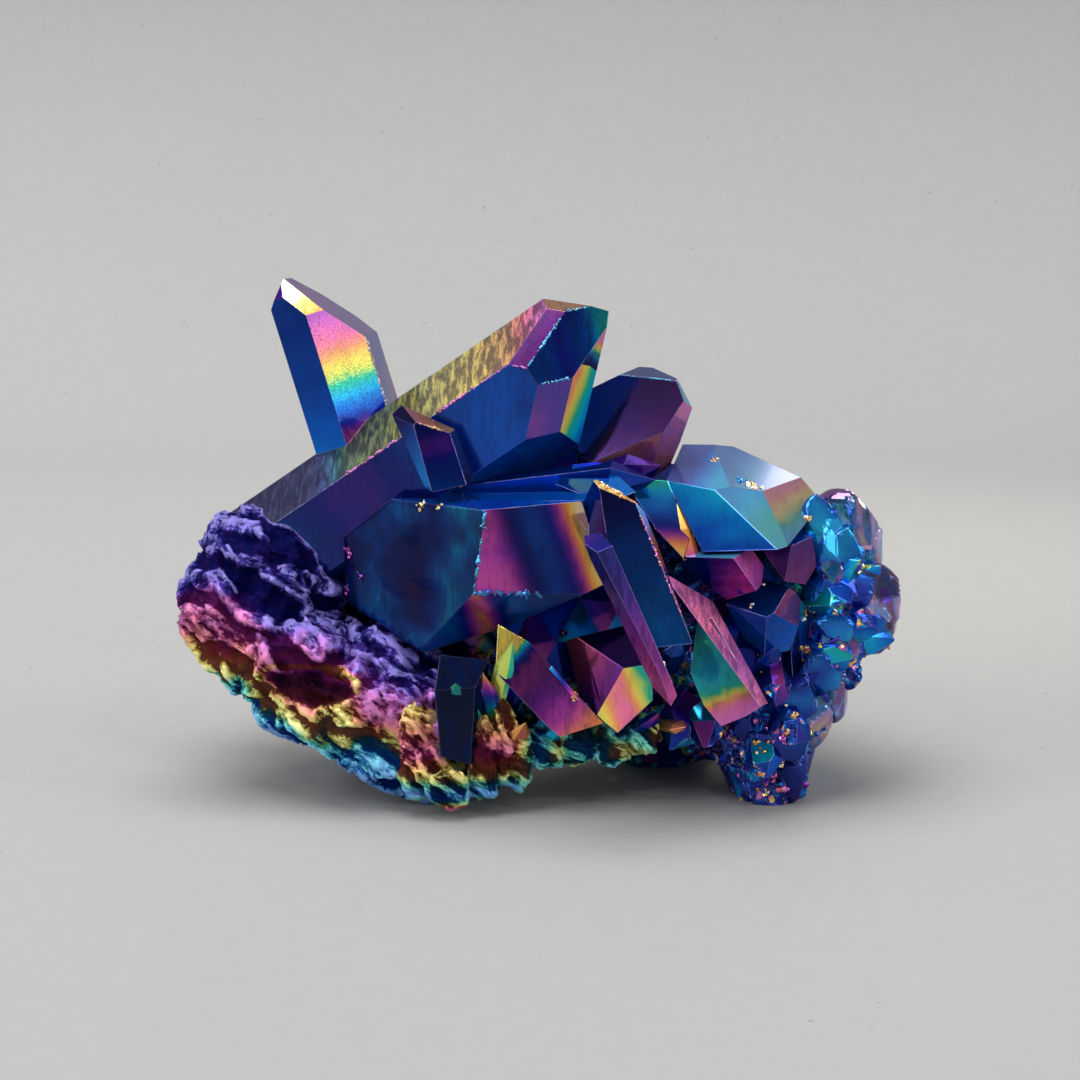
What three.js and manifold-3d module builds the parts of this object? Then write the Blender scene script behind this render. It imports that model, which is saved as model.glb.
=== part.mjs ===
// Aura quartz cluster: quartz points grown together on a lump of broken rock, under one metal film.
// Millimetres, +Z up, the longest way along X. It stands on four rough feet with a low arch
// between the left foot and the right one.
import * as THREE from "three";
import { ConvexHull } from "three/addons/math/ConvexHull.js";
import { ImprovedNoise } from "three/addons/math/ImprovedNoise.js";
import { mergeVertices } from "three/addons/utils/BufferGeometryUtils.js";
import Module from "manifold-3d";

const wasm = await Module();
wasm.setup();

// Driving dimensions
const PYRAMID_TILT = 51.8; // a pyramid face of quartz leans this far off the point's axis, degrees
const BEVEL_TILT = 65.6; // the small corner face between two pyramid faces, degrees
const BACK_TAPER = 0.22; // crystals narrow by this much per mm towards their hidden roots
const VIEW_LOOKS_DOWN = 12; // crystals are described as seen from the front, from this far above
const SHORTEST_EDGE = 0.6; // shorter stretches of a crystal's outline get no hidden face
const FLAKE_SIZE = 6.5; // spacing of the main ridges of the broken rock
const FLAKE_HEIGHT = 1.5;
const GRAIN_SIZE = 2.4; // spacing of the smaller ones
const GRAIN_HEIGHT = 0.6;
const CREST_SHARE = 0.75; // ridges rise and fall about this share of their height
const LUMP_BULGE = 0.75; // below 1, a lump is boxier than an egg
const ROOT_OF_BACK_POINTS = 8;
const ROOT_OF_SMALL_POINTS = 4;
const TIP_SHARE = 0.8; // pyramid faces lie at this share of a back point's length
const BLUNT_TIP_SHARE = 0.66; // and at this share on the small points
const STAND_OUT = 0.5; // the small points stand this much proud of the places given for them
const GRAINY_END_CENTRE = [24, 6, 20]; // the small points at the right fan out from here
const WELD = 1e-4;

const noise = new ImprovedNoise();
const radians = THREE.MathUtils.degToRad;

function seeded(seed) {
  let state = seed;
  return () => {
    state = (state * 1664525 + 1013904223) % 4294967296;
    return state / 4294967296;
  };
}

// The corners where three planes meet inside all the others. A plane is [normal, distance].
function cornersOf(planes) {
  const corners = [];
  const n = planes.length;
  for (let i = 0; i < n; i += 1) {
    for (let j = i + 1; j < n; j += 1) {
      for (let k = j + 1; k < n; k += 1) {
        const [a, b, c] = [planes[i][0], planes[j][0], planes[k][0]];
        const bc = new THREE.Vector3().crossVectors(b, c);
        const det = a.dot(bc);
        if (Math.abs(det) > 1e-6) {
          const corner = bc.clone().multiplyScalar(planes[i][1]);
          corner.addScaledVector(new THREE.Vector3().crossVectors(c, a), planes[j][1]);
          corner.addScaledVector(new THREE.Vector3().crossVectors(a, b), planes[k][1]);
          corner.divideScalar(det);
          if (planes.every(([normal, distance]) => normal.dot(corner) < distance + WELD)) {
            corners.push(corner);
          }
        }
      }
    }
  }
  return corners;
}

// A closed solid from a flat list of triangle corners
function solidOf(positions) {
  const loose = new THREE.BufferGeometry();
  loose.setAttribute("position", new THREE.Float32BufferAttribute(positions, 3));
  const welded = mergeVertices(loose, WELD);
  const mesh = new wasm.Mesh({
    numProp: 3,
    vertProperties: Float32Array.from(welded.attributes.position.array),
    triVerts: Uint32Array.from(welded.index.array),
  });
  mesh.merge();
  return new wasm.Manifold(mesh);
}

// A convex solid with flat faces, from the planes that bound it
function convex(planes) {
  const hull = new ConvexHull().setFromPoints(cornersOf(planes));
  const positions = [];
  for (const face of hull.faces) {
    const start = face.edge;
    let edge = start.next;
    while (edge.next !== start) {
      for (const corner of [start.head(), edge.head(), edge.next.head()]) {
        positions.push(...corner.point.toArray());
      }
      edge = edge.next;
    }
  }
  return solidOf(positions);
}

// A quartz point: six sides round an axis and a pyramid face over each.
// lean: off upright, degrees; heading: compass way it leans, 0 = +X, 90 = +Y; turn: about its axis.
// sides, tips, bevels: how far each face lies from `at`; root: how far the shaft runs back.
function point({ at, lean, heading, turn, sides, tips, bevels = [], root }) {
  const [l, h] = [radians(lean), radians(heading)];
  const axis = new THREE.Vector3(Math.sin(l) * Math.cos(h), Math.sin(l) * Math.sin(h), Math.cos(l));
  const across = new THREE.Vector3(Math.cos(l) * Math.cos(h), Math.cos(l) * Math.sin(h), -Math.sin(l));
  const beside = new THREE.Vector3().crossVectors(axis, across);
  const centre = new THREE.Vector3(...at);
  const planes = [];
  const addFace = (around, tilt, distance) => {
    const out = across.clone().multiplyScalar(Math.cos(radians(around)));
    out.addScaledVector(beside, Math.sin(radians(around)));
    const normal = out.multiplyScalar(Math.sin(radians(tilt)));
    normal.addScaledVector(axis, Math.cos(radians(tilt))).normalize();
    planes.push([normal, distance + normal.dot(centre)]);
  };
  for (let i = 0; i < 6; i += 1) {
    addFace(turn + 60 * i, 90, sides[i]);
    addFace(turn + 60 * i, PYRAMID_TILT, tips[i]);
    if (bevels[i]) {
      addFace(turn + 60 * i + 30, BEVEL_TILT, bevels[i]);
    }
  }
  addFace(0, 180, root);
  return convex(planes);
}

// A crystal or shard given by the corners that show from the front and by the faces they make.
// Each face is made flat through its corners; hidden faces run back from the outline and taper.
function shard(corners, faces, depth) {
  const names = Object.keys(corners);
  const points = names.map((name) => new THREE.Vector3(...corners[name]));
  const middle = new THREE.Vector3();
  for (const p of points) {
    middle.addScaledVector(p, 1 / points.length);
  }
  const inside = middle.clone().add(new THREE.Vector3(0, 2, 0));
  const planes = faces.map((face) => {
    const loop = [...face].map((name) => points[names.indexOf(name)]);
    return planeThrough(loop, inside);
  });
  const right = new THREE.Vector3(1, 0, 0);
  const tilt = radians(VIEW_LOOKS_DOWN);
  const high = new THREE.Vector3(0, Math.sin(tilt), Math.cos(tilt));
  const away = new THREE.Vector3(0, Math.cos(tilt), -Math.sin(tilt));
  const outline = outlineOf(points.map((p) => ({ p, u: p.dot(right), v: p.dot(high) })));
  outline.forEach((from, i) => {
    const to = outline[(i + 1) % outline.length];
    const [du, dv] = [to.u - from.u, to.v - from.v];
    const length = Math.hypot(du, dv);
    if (length < SHORTEST_EDGE) {
      return;
    }
    // The outline runs anticlockwise, so inwards is to its left.
    const inwards = right.clone().multiplyScalar(-dv / length).addScaledVector(high, du / length);
    const back = away.clone().addScaledVector(inwards, BACK_TAPER);
    const normal = new THREE.Vector3().subVectors(to.p, from.p).cross(back).normalize();
    if (normal.dot(inwards) > 0) {
      normal.negate();
    }
    planes.push([normal, Math.max(...points.map((p) => p.dot(normal)))]);
  });
  planes.push([new THREE.Vector3(0, 1, 0), Math.max(...points.map((p) => p.y)) + depth]);
  return convex(planes);
}

// Best flat plane through a loop of corners (Newell's method), facing away from `inside`
function planeThrough(loop, inside) {
  const normal = new THREE.Vector3();
  const centre = new THREE.Vector3();
  loop.forEach((a, i) => {
    const b = loop[(i + 1) % loop.length];
    normal.x += (a.y - b.y) * (a.z + b.z);
    normal.y += (a.z - b.z) * (a.x + b.x);
    normal.z += (a.x - b.x) * (a.y + b.y);
    centre.addScaledVector(a, 1 / loop.length);
  });
  normal.normalize();
  if (normal.dot(centre) < normal.dot(inside)) {
    normal.negate();
  }
  return [normal, normal.dot(centre)];
}

// Convex outline of flat points (u, v), anticlockwise
function outlineOf(flat) {
  const sorted = [...flat].sort((a, b) => a.u - b.u || a.v - b.v);
  const turn = (a, b, c) => (b.u - a.u) * (c.v - a.v) - (b.v - a.v) * (c.u - a.u);
  const half = (list) => {
    const chain = [];
    for (const q of list) {
      while (chain.length > 1 && turn(chain.at(-2), chain.at(-1), q) <= 0) {
        chain.pop();
      }
      chain.push(q);
    }
    chain.pop();
    return chain;
  };
  return [...half(sorted), ...half(sorted.reverse())];
}

// Sharp-crested noise between 0 and 1, for flaky broken rock
function ridges(p, size, seed) {
  const n = noise.noise(p.x / size + seed, p.y / size - seed, p.z / size + 0.7 * seed);
  return 1 - Math.abs(n) * 2;
}

// A lump of broken rock. outline: its edge from the front as [x, z], anticlockwise or clockwise;
// y: where that edge lies at the height of the centre, and recede: how far back it leans per mm of
// height; front, back: how far the lump bulges towards and away from the viewer.
function rock({ centre, outline, y, recede = 0, front, back, fineness, seed }) {
  const [cx, cz] = centre;
  const spokes = outline.map(([x, z]) => [Math.atan2(z - cz, x - cx), Math.hypot(x - cx, z - cz)]);
  spokes.sort((a, b) => a[0] - b[0]);
  const reach = (angle) => {
    let i = spokes.findIndex(([at]) => at > angle);
    i = i < 0 ? 0 : i;
    const [a1, r1] = spokes[i];
    const [a0, r0] = spokes[(i + spokes.length - 1) % spokes.length];
    const gap = (a1 - a0 + 2 * Math.PI) % (2 * Math.PI);
    const t = ((angle - a0 + 2 * Math.PI) % (2 * Math.PI)) / gap;
    return r0 + (r1 - r0) * t;
  };
  const ball = new THREE.IcosahedronGeometry(1, fineness);
  const place = ball.attributes.position;
  const p = new THREE.Vector3();
  const positions = [];
  for (let i = 0; i < place.count; i += 1) {
    p.fromBufferAttribute(place, i);
    const flat = Math.hypot(p.x, p.z);
    const angle = Math.atan2(p.z, p.x);
    const swell = flat ** LUMP_BULGE * reach(angle);
    const depth = p.y < 0 ? front : back;
    const rise = swell * Math.sin(angle);
    const spot = new THREE.Vector3(cx + swell * Math.cos(angle), y + recede * rise + p.y * depth, cz + rise);
    const out = new THREE.Vector3(Math.cos(angle) * flat, p.y, Math.sin(angle) * flat).normalize();
    const flakes = FLAKE_HEIGHT * (ridges(spot, FLAKE_SIZE, seed) - CREST_SHARE);
    const grains = GRAIN_HEIGHT * (ridges(spot, GRAIN_SIZE, seed + 5) - CREST_SHARE);
    spot.addScaledVector(out, flakes + grains);
    positions.push(...spot.toArray());
  }
  return solidOf(positions);
}

// The tall point that stands up at the left
const tallPoint = point({
  at: [-22, 12, 38.8], lean: 17.8, heading: 162.2, turn: 13.9,
  sides: [5.1, 7.2, 6.6, 5.2, 7.5, 6.3], tips: [17.5, 19.8, 17.5, 13.5, 17, 17], root: 14,
});

// The long thick point that lies across the top and rises to the right
const longPoint = point({
  at: [-17.5, 6, 42.5], lean: 55.2, heading: 350.7, turn: 148.6,
  sides: [3.7, 4.1, 7.9, 11.3, 11.5, 8], tips: [18.5, 18.9, 18.8, 20.5, 20.2, 20.3],
  bevels: [0, 14, 16.4, 0, 0, 0], root: 24,
});

const frontCrystals = [
  // the blunt dark point behind the long one
  shard({
    a: [4, 8, 47.5], b: [9.7, 7, 50.5], c: [16.9, 4.5, 50.3], d: [17.8, 3, 48], e: [15.7, 1, 45.1],
    f: [7.4, 1.5, 40.5], g: [12.9, 3, 37.5], h: [19, 6, 46.6], i: [17.6, 7, 42.1], j: [12.6, 11, 51.1],
    k: [14.2, 11, 50.9], m: [3.7, 3, 41.8], n: [16.4, 7, 39],
  }, ["bcdefm", "efg", "degnih", "bckj", "cdh", "abj"], 7),
  // small purple point in front of the long crystal
  shard({
    a: [-16.8, -2, 48.1], b: [-10.5, -5, 45.9], c: [-10.8, -7, 45.4], d: [-14.9, -7, 47.1],
    e: [-8.9, -9, 40.2], f: [-13.1, -10, 39.7], g: [-18, -3, 47.3], h: [-13.8, -9, 39.3],
    i: [-15.7, -6.5, 46.5], j: [-8, -6, 39.9], k: [-10.1, -5, 45.4],
  }, ["abcd", "cdfe", "gifh", "kjec", "agid"], 5),
  // low blue dome under the long crystal
  shard({
    a: [3.9, -3, 41.1], b: [7.3, -3, 41.4], c: [8.7, -5, 40.7], d: [11.5, -8, 38.6],
    e: [1.9, -6, 39.2], f: [7.6, -12, 37.8],
  }, ["abcfe", "cdf"], 6),
  // broad crystal lying across the middle, broken at its left end
  shard({
    a: [-8, -14, 37.5], b: [5, -13, 38.4], c: [7.9, -12, 28.3], d: [0.6, -13, 27.4],
    e: [-8.5, -14, 27.7], f: [-17.6, -5, 37.3], g: [-24.1, -1, 31.5], h: [-24.1, -2, 23.8],
    i: [-14, -9, 19], j: [-10.2, -12, 23.5], k: [-4.2, -10, 22.5],
  }, ["abce", "aefghi", "abf", "edkji"], 10),
  // slim upright prism at the front
  shard({
    a: [6.7, -13, 41.1], b: [10.4, -14, 39], c: [4.7, -12, 38], d: [5.1, -13, 34.7],
    e: [7.6, -15, 40.2], f: [8.4, -17, 34.6], g: [10.8, -16, 38.7], h: [12.4, -13, 37.2],
    i: [14, -14, 33], j: [14.5, -16, 31.5], k: [15.8, -18, 27.4], l: [18, -20, 22.7],
    m: [13.4, -21, 22.6],
  }, ["efgjklm", "cedf", "ghij", "abge"], 4),
  // lilac blade leaning on the slim prism
  shard({
    a: [5.2, -18, 35.3], b: [7, -18, 35.8], c: [8.2, -20, 34.7], d: [13.2, -24, 24.3],
    e: [15.8, -25, 18], f: [15.1, -25, 16.7], g: [12.7, -25, 18.6], h: [5.8, -20, 32.9],
    i: [7.3, -21.5, 34.2],
  }, ["abci", "higdf", "cied", "efg"], 3),
  // short six-sided point towards the right
  shard({
    a: [17.2, -9, 30.8], b: [19.1, -6, 31.5], c: [25.2, -10, 32.1], d: [22.8, -14, 31.8],
    e: [25.3, -14, 28.6], f: [22.4, -11, 26], g: [27, -11, 30.2], h: [26.3, -12, 28.3],
    i: [17.2, -9, 29.5],
  }, ["abcd", "adefi", "cdehg"], 5),
  // broad teal face at the right shoulder
  shard({
    a: [11.2, -4, 37.7], b: [13.5, -1, 38.6], c: [21.1, -2, 38.7], d: [19.5, -4, 36.8],
    e: [17.5, -6, 33.3], f: [17.1, -8, 31.1], g: [13.9, -8, 33.9],
  }, ["abcdefg"], 10),
  // big blunt point at the right shoulder
  shard({
    a: [19.4, -6, 37.6], b: [21.1, -5, 38.5], c: [24.9, -10, 36.2], d: [25, -12, 34.8],
    e: [23.6, -12, 33.3], f: [19.6, -9, 31.7], g: [21.1, -3, 39.1], h: [26.6, -6, 37.8],
    i: [29, -9, 35.7], j: [27.3, -1, 39], k: [32.7, 2, 38.4], l: [34.5, 0, 36], m: [32.5, -6, 34.8],
    n: [24.6, 12, 40.7], o: [27.8, 9, 39.4], p: [18.1, 12, 41.1], r: [15.8, 0, 38.6],
  }, ["abcdef", "gcdih", "hjklmi", "pngr", "nojhg"], 12),
  // small dark red point
  shard({
    a: [25.7, -7, 34], b: [28.6, -5, 34.4], c: [31.3, -5, 34.3], d: [32.2, -7, 33.2],
    e: [26.2, -9, 33.6], f: [33.2, -8, 31.7], g: [33.6, -8, 29.5], h: [32, -9, 27.4],
    i: [29.3, -11, 28.4], j: [27.3, -11, 30.9], k: [30.6, -11, 32.7],
  }, ["abcde", "ekij", "kdfghi"], 5),
  // dark blue point low on the right
  shard({
    a: [22.6, -9, 24.9], b: [25.4, -8, 27.1], c: [27.2, -8, 28], d: [31, -9, 26.5], e: [25.7, -13, 25],
    f: [31.5, -8, 25.3], g: [30.2, -10, 19.5], h: [27, -12, 19.4], i: [24.7, -11, 21],
    j: [27.2, -13, 24.7], k: [30.6, -11, 23.5],
  }, ["abcde", "aejhi", "jkgh", "dfkj"], 6),
  // teal-green slab above the right foot
  shard({
    a: [18.9, -13, 23.8], b: [20.5, -13.5, 24.4], c: [21.7, -14.5, 21.9], d: [24.3, -16, 17.4],
    e: [26.2, -16, 14.3], f: [24.4, -16, 13], g: [21.6, -16, 11.6], h: [19.5, -15, 14],
    i: [18, -14, 17.5], j: [18.5, -13, 20.9],
  }, ["abcdeghij"], 4),
  // pink spine beside the slab
  shard({
    k: [17.1, -10, 27.2], l: [21, -11, 26], m: [21.9, -12, 24.4], n: [25.9, -15, 16.1],
    o: [26.9, -16, 14.7], b: [19.8, -12.5, 25.6], d: [24.2, -17.5, 17.6], e: [26, -18, 14.8],
  }, ["klmnoedb"], 4),
  // violet prism under the broad crystal, its end towards the front
  shard({
    a: [3, -9, 20.5], b: [11.3, -15, 19], c: [12, -15.5, 18.2], d: [13.4, -16, 14.9],
    e: [9.3, -15, 10.6], f: [6.2, -14, 13.6], g: [7.2, -10, 21.8], h: [4.8, -11, 14.8],
    i: [12, -11, 23.3],
  }, ["bcdef", "abfh", "abig"], 8),
  // yellow and magenta plate below the middle
  shard({
    a: [-4.8, -11, 22.6], b: [-1.2, -13, 21.4], c: [-5.4, -14, 17.8], d: [2.4, -15, 10.2],
    e: [7.4, -14, 11.6], f: [-3.3, -15, 15.9],
  }, ["abedfc"], 7),
  // small dark prism at the bottom
  shard({
    a: [-12, -13, 19.7], b: [-6.3, -13, 19.1], c: [-7.7, -16, 16.2], d: [-11.9, -16, 16.4],
    e: [-12, -16, 7.9], f: [-8.4, -15, 6.7], g: [-6.1, -11, 7],
  }, ["abcd", "cdef", "bcfg"], 6),
  // dark face running down to the right foot
  shard({
    f: [31.5, -8, 25.3], g: [34.4, -6, 23.3], b: [36.5, -4, 17.7], a: [31.8, -8, 14],
    h: [30.2, -10, 18.9], i: [31.4, -10, 4.4],
  }, ["afgb", "afhi"], 6),
  // violet strip on the outside of the right foot
  shard({
    a: [31.8, -8, 13.7], b: [36.5, -4, 17.7], c: [37, -4, 11.6], d: [35.6, -5, 8.3],
    e: [33.4, -8, 7.4],
  }, ["abcde"], 6),
];

// Six distances about `base`, each up to `share` more or less
function sixAbout(base, share, vary) {
  return Array.from({ length: 6 }, () => base * (1 - share + 2 * share * vary()));
}

// Points on the far side, which run into the same rock
const backPoints = [
  { at: [-30, 12, 20], lean: 72, heading: 140, turn: 10, girth: 5.5, length: 15 },
  { at: [-14, 14, 30], lean: 48, heading: 100, turn: 35, girth: 6, length: 14 },
  { at: [2, 14, 32], lean: 35, heading: 80, turn: 0, girth: 5, length: 15 },
  { at: [14, 14, 28], lean: 66, heading: 75, turn: 20, girth: 6.5, length: 14 },
  { at: [27, 10, 25], lean: 68, heading: 55, turn: 50, girth: 5.5, length: 14 },
  { at: [-2, 15, 18], lean: 82, heading: 95, turn: 15, girth: 4.5, length: 13 },
  { at: [26, 11, 16], lean: 80, heading: 62, turn: 25, girth: 4, length: 12 },
].map(({ girth, length, ...rest }, i) => {
  const vary = seeded(40 + i);
  const sides = sixAbout(girth, 0.12, vary);
  const tips = sixAbout(length * TIP_SHARE, 0.07, vary);
  return point({ ...rest, sides, tips, root: ROOT_OF_BACK_POINTS });
});

// Small glassy points crowded over the right-hand end: [x, y, z], girth, length
const smallPoints = [
  [[34.5, -3, 33], 2.4, 2.9], [[37.4, -1, 32], 2.3, 2.8], [[37, -5, 28.6], 2.6, 2.8],
  [[39.2, -2, 27], 2.6, 2.7], [[41.2, 0, 23.7], 2.5, 2.7], [[38.6, -6, 22], 2.2, 3.0],
  [[41, -3, 19.7], 2.5, 2.7], [[36, -7.5, 25], 2.0, 2.8], [[35.4, -7, 18.4], 2.2, 2.8],
  [[37.6, -3, 15], 2.4, 2.6], [[38, 5, 29], 2.8, 3.4], [[40, 6, 22], 2.9, 3.4],
  [[37, 8, 16], 2.8, 3.4], [[28, -11.5, 15], 1.9, 2.8], [[30, -10.5, 10], 2.1, 2.8],
  [[27.5, -11.4, 6], 2.0, 2.6], [[17, -9, 9.6], 2.4, 2.8], [[20, -10, 9.8], 2.2, 2.8],
  [[8, -8, 9], 2.3, 3.2], [[1, -8, 8.6], 2.4, 3.0], [[-13, -11, 9.4], 1.9, 2.8],
];

function smallPointSolids() {
  const vary = seeded(7);
  const middle = new THREE.Vector3(...GRAINY_END_CENTRE);
  return smallPoints.map(([at, girth, length]) => {
    const out = new THREE.Vector3(...at).sub(middle).normalize();
    const lean = THREE.MathUtils.radToDeg(Math.acos(out.z)) + 20 * (vary() - 0.5);
    const heading = THREE.MathUtils.radToDeg(Math.atan2(out.y, out.x)) + 30 * (vary() - 0.5);
    const proud = new THREE.Vector3(...at).addScaledVector(out, STAND_OUT).toArray();
    const sides = sixAbout(girth, 0.15, vary);
    const tips = sixAbout(length * BLUNT_TIP_SHARE, 0.25, vary);
    const turn = 60 * vary();
    return point({ at: proud, lean, heading, turn, sides, tips, root: ROOT_OF_SMALL_POINTS });
  });
}

const rocks = [
  // broken lump at the left end
  rock({
    centre: [-35, 23], y: 0, recede: 0.42, front: 7, back: 13, fineness: 7, seed: 3.1,
    outline: [
      [-40.3, 33], [-43.2, 27.6], [-45, 23.8], [-43, 18.7], [-39.6, 14.5], [-34, 11], [-26, 14],
      [-25.5, 19.5], [-25, 24.5], [-27, 29], [-29.5, 34], [-35, 34.5],
    ],
  }),
  // lower lump with the left foot
  rock({
    centre: [-23, 12], y: -2, recede: 0.22, front: 10.5, back: 15, fineness: 8, seed: 5.6,
    outline: [
      [-39.5, 17], [-36, 12.6], [-34.8, 9.8], [-29.6, 6.8], [-25.5, 4.6], [-21, 2.6], [-17, 0.2],
      [-12.6, -1], [-8, -0.6], [-4, 4.5], [-4, 11], [-9, 17], [-14, 19], [-24, 20.5], [-29, 24],
      [-34, 26.5], [-39.5, 25],
    ],
  }),
  // low middle part, a bridge between the feet
  rock({
    centre: [2, 19], y: 3, recede: 0.45, front: 7, back: 16, fineness: 5, seed: 8.4,
    outline: [
      [-13.6, 28.9], [-14.9, 18.7], [-12.5, 5.8], [-7.8, 2], [-1.3, 5], [5.6, 5.6], [13.2, 6.2], [18.8, 9.5],
      [23, 13.6], [20, 23.8], [18.4, 33], [9.8, 35], [-4.9, 35],
    ],
  }),
  // right-hand end with its foot
  rock({
    centre: [29, 19], y: 1.5, recede: 0.37, front: 9, back: 13, fineness: 8, seed: 12.7,
    outline: [
      [13.6, 32], [18.5, 36.5], [29.6, 35], [34.8, 34], [38.4, 32.5], [40, 30.6], [39.4, 28.1], [41.2, 25.3],
      [42.8, 22.9], [43.2, 18.4], [40.7, 16.3], [38.5, 14.2], [36.8, 10.2], [33.8, 5.3], [32.2, 0],
      [31.4, -3], [26.6, -3], [25, -1.6], [22.4, 4], [18.6, 8.6], [13.6, 13], [11.2, 23.4],
    ],
  }),
  // the two feet at the back
  rock({
    centre: [-19, 6], y: 10, front: 9, back: 7, fineness: 3, seed: 17.2,
    outline: [[-29, 14], [-27, 5], [-23, -1.8], [-15, -1.8], [-10, 5], [-9, 14], [-19, 20]],
  }),
  rock({
    centre: [16, 6], y: 11, front: 8, back: 7, fineness: 3, seed: 21.9,
    outline: [[6, 14], [8, 5], [12, -1.8], [20, -1.8], [24, 5], [26, 14], [16, 20]],
  }),
];

// All of it has grown into one solid; the feet are flat where it stands.
const parts = [...rocks, tallPoint, longPoint, ...frontCrystals, ...backPoints, ...smallPointSolids()];
const grown = wasm.Manifold.union(parts).trimByPlane([0, 0, 1], 0);
const box = grown.boundingBox();
const centred = grown.translate([-(box.min[0] + box.max[0]) / 2, -(box.min[1] + box.max[1]) / 2, 0]);

const mesh = centred.getMesh();
const geometry = new THREE.BufferGeometry();
geometry.setAttribute("position", new THREE.BufferAttribute(mesh.vertProperties, 3));
geometry.setIndex(new THREE.BufferAttribute(mesh.triVerts, 1));
const coated = new THREE.MeshStandardMaterial({ color: 0x26408f, metalness: 0.6, roughness: 0.2 });
coated.name = "coated_quartz";
const cluster = new THREE.Mesh(geometry.toNonIndexed(), coated);
cluster.name = "quartz_cluster";
cluster.geometry.computeVertexNormals();

const object = new THREE.Group();
object.name = "aura_quartz_cluster";
object.add(cluster);
export default object;
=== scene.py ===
"""Aura quartz cluster: quartz points grown together on broken rock, all under one thin metal film.

Metres, +Z up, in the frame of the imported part. The long way of the cluster lies along X.
"""

import math

import bpy
import numpy as np
from mathutils.bvhtree import BVHTree
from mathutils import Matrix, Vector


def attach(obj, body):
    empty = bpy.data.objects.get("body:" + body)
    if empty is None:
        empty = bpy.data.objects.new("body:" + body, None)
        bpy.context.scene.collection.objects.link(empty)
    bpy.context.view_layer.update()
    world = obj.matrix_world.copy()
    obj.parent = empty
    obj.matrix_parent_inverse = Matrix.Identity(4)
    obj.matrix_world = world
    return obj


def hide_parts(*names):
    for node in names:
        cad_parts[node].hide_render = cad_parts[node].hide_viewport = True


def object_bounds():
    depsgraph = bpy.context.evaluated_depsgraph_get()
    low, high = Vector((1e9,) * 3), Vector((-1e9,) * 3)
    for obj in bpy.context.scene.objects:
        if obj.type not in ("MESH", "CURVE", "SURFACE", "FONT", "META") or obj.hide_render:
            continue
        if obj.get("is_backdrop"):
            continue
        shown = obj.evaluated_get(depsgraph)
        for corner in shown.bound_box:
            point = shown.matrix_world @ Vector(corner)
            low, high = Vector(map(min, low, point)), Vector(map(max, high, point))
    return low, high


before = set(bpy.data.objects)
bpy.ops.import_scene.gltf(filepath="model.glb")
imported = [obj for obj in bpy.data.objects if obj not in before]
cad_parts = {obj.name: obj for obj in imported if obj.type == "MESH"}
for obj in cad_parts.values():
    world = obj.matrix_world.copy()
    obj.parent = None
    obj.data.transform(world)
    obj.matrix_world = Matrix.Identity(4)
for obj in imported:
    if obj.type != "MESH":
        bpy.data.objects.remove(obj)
cad_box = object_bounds()
MM = 0.001


# ---------------------------------------------------------------------------------------------
# Camera: an 85 mm lens on a 36 mm sensor, twelve degrees above level, aimed at the middle of
# the cluster.
aim = np.array([0.35, -3.26, 31.0]) * MM
distance = 315.7 * MM
looks_down = math.radians(12.0)

lens = bpy.data.cameras.new("camera")
lens.lens = 85.0
lens.sensor_width = 36.0
lens.clip_start = 0.01
camera = bpy.data.objects.new("camera", lens)
camera.location = aim + distance * np.array([0, -math.cos(looks_down), math.sin(looks_down)])
camera.rotation_euler = (math.radians(90) - looks_down, 0, 0)
bpy.context.scene.collection.objects.link(camera)
bpy.context.scene.camera = camera


# ---------------------------------------------------------------------------------------------
# Studio: a pale concrete sweep that runs up behind into a plain wall, painted darker as it rises
# (painted shade), with big soft lights.
# The sweep is one curved sheet, and is not part of the object.
class Wire:
    """A socket in a material's nodes. Arithmetic on it adds Math nodes; node() adds any other."""

    def __init__(self, tree, socket=None):
        self.tree = tree
        self.socket = socket

    def node(self, kind, settings=None, sockets=None, output=0):
        """Adds a node, with its settings made first and then its sockets filled or linked."""
        made = self.tree.nodes.new(kind)
        for name, value in (settings or {}).items():
            if name == "stops":
                fill_ramp(made.color_ramp, value)
            else:
                setattr(made, name, value)
        for name, value in (sockets or {}).items():
            if isinstance(value, Wire):
                self.tree.links.new(value.socket, made.inputs[name])
            else:
                made.inputs[name].default_value = value
        return Wire(self.tree, made.outputs[output])

    def math(self, operation, *values, clamp=False):
        settings = {"operation": operation, "use_clamp": clamp}
        return self.node("ShaderNodeMath", settings, dict(enumerate(values)))

    def __add__(self, other):
        return self.math("ADD", self, other)

    def __sub__(self, other):
        return self.math("SUBTRACT", self, other)

    def __rsub__(self, other):
        return self.math("SUBTRACT", other, self)

    def __mul__(self, other):
        return self.math("MULTIPLY", self, other)

    __radd__ = __add__
    __rmul__ = __mul__

    def clamped(self):
        return self.math("ADD", self, 0.0, clamp=True)

    def between(self, low, high):
        """0 below `low`, 1 above `high`, smooth between."""
        settings = {"interpolation_type": "SMOOTHSTEP"}
        sockets = {0: self, 1: low, 2: high, 3: 0.0, 4: 1.0}
        return self.node("ShaderNodeMapRange", settings, sockets)

    def mixed(self, other, factor):
        """This colour, going over to `other` as factor goes from 0 to 1."""
        settings = {"data_type": "RGBA", "clamp_factor": True}
        return self.node("ShaderNodeMix", settings, {0: factor, 6: self, 7: other}, output=2)

    def times(self, other):
        """Colour times colour."""
        settings = {"data_type": "RGBA", "blend_type": "MULTIPLY"}
        return self.node("ShaderNodeMix", settings, {0: 1.0, 6: self, 7: other}, output=2)


def fill_ramp(ramp, stops):
    """Gives a colour ramp its stops, each a place and a linear colour."""
    while len(ramp.elements) > 1:
        ramp.elements.remove(ramp.elements[-1])
    for i, (place, colour) in enumerate(stops):
        stop = ramp.elements[0] if i == 0 else ramp.elements.new(place)
        stop.position = place
        stop.color = (*colour, 1.0)


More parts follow.
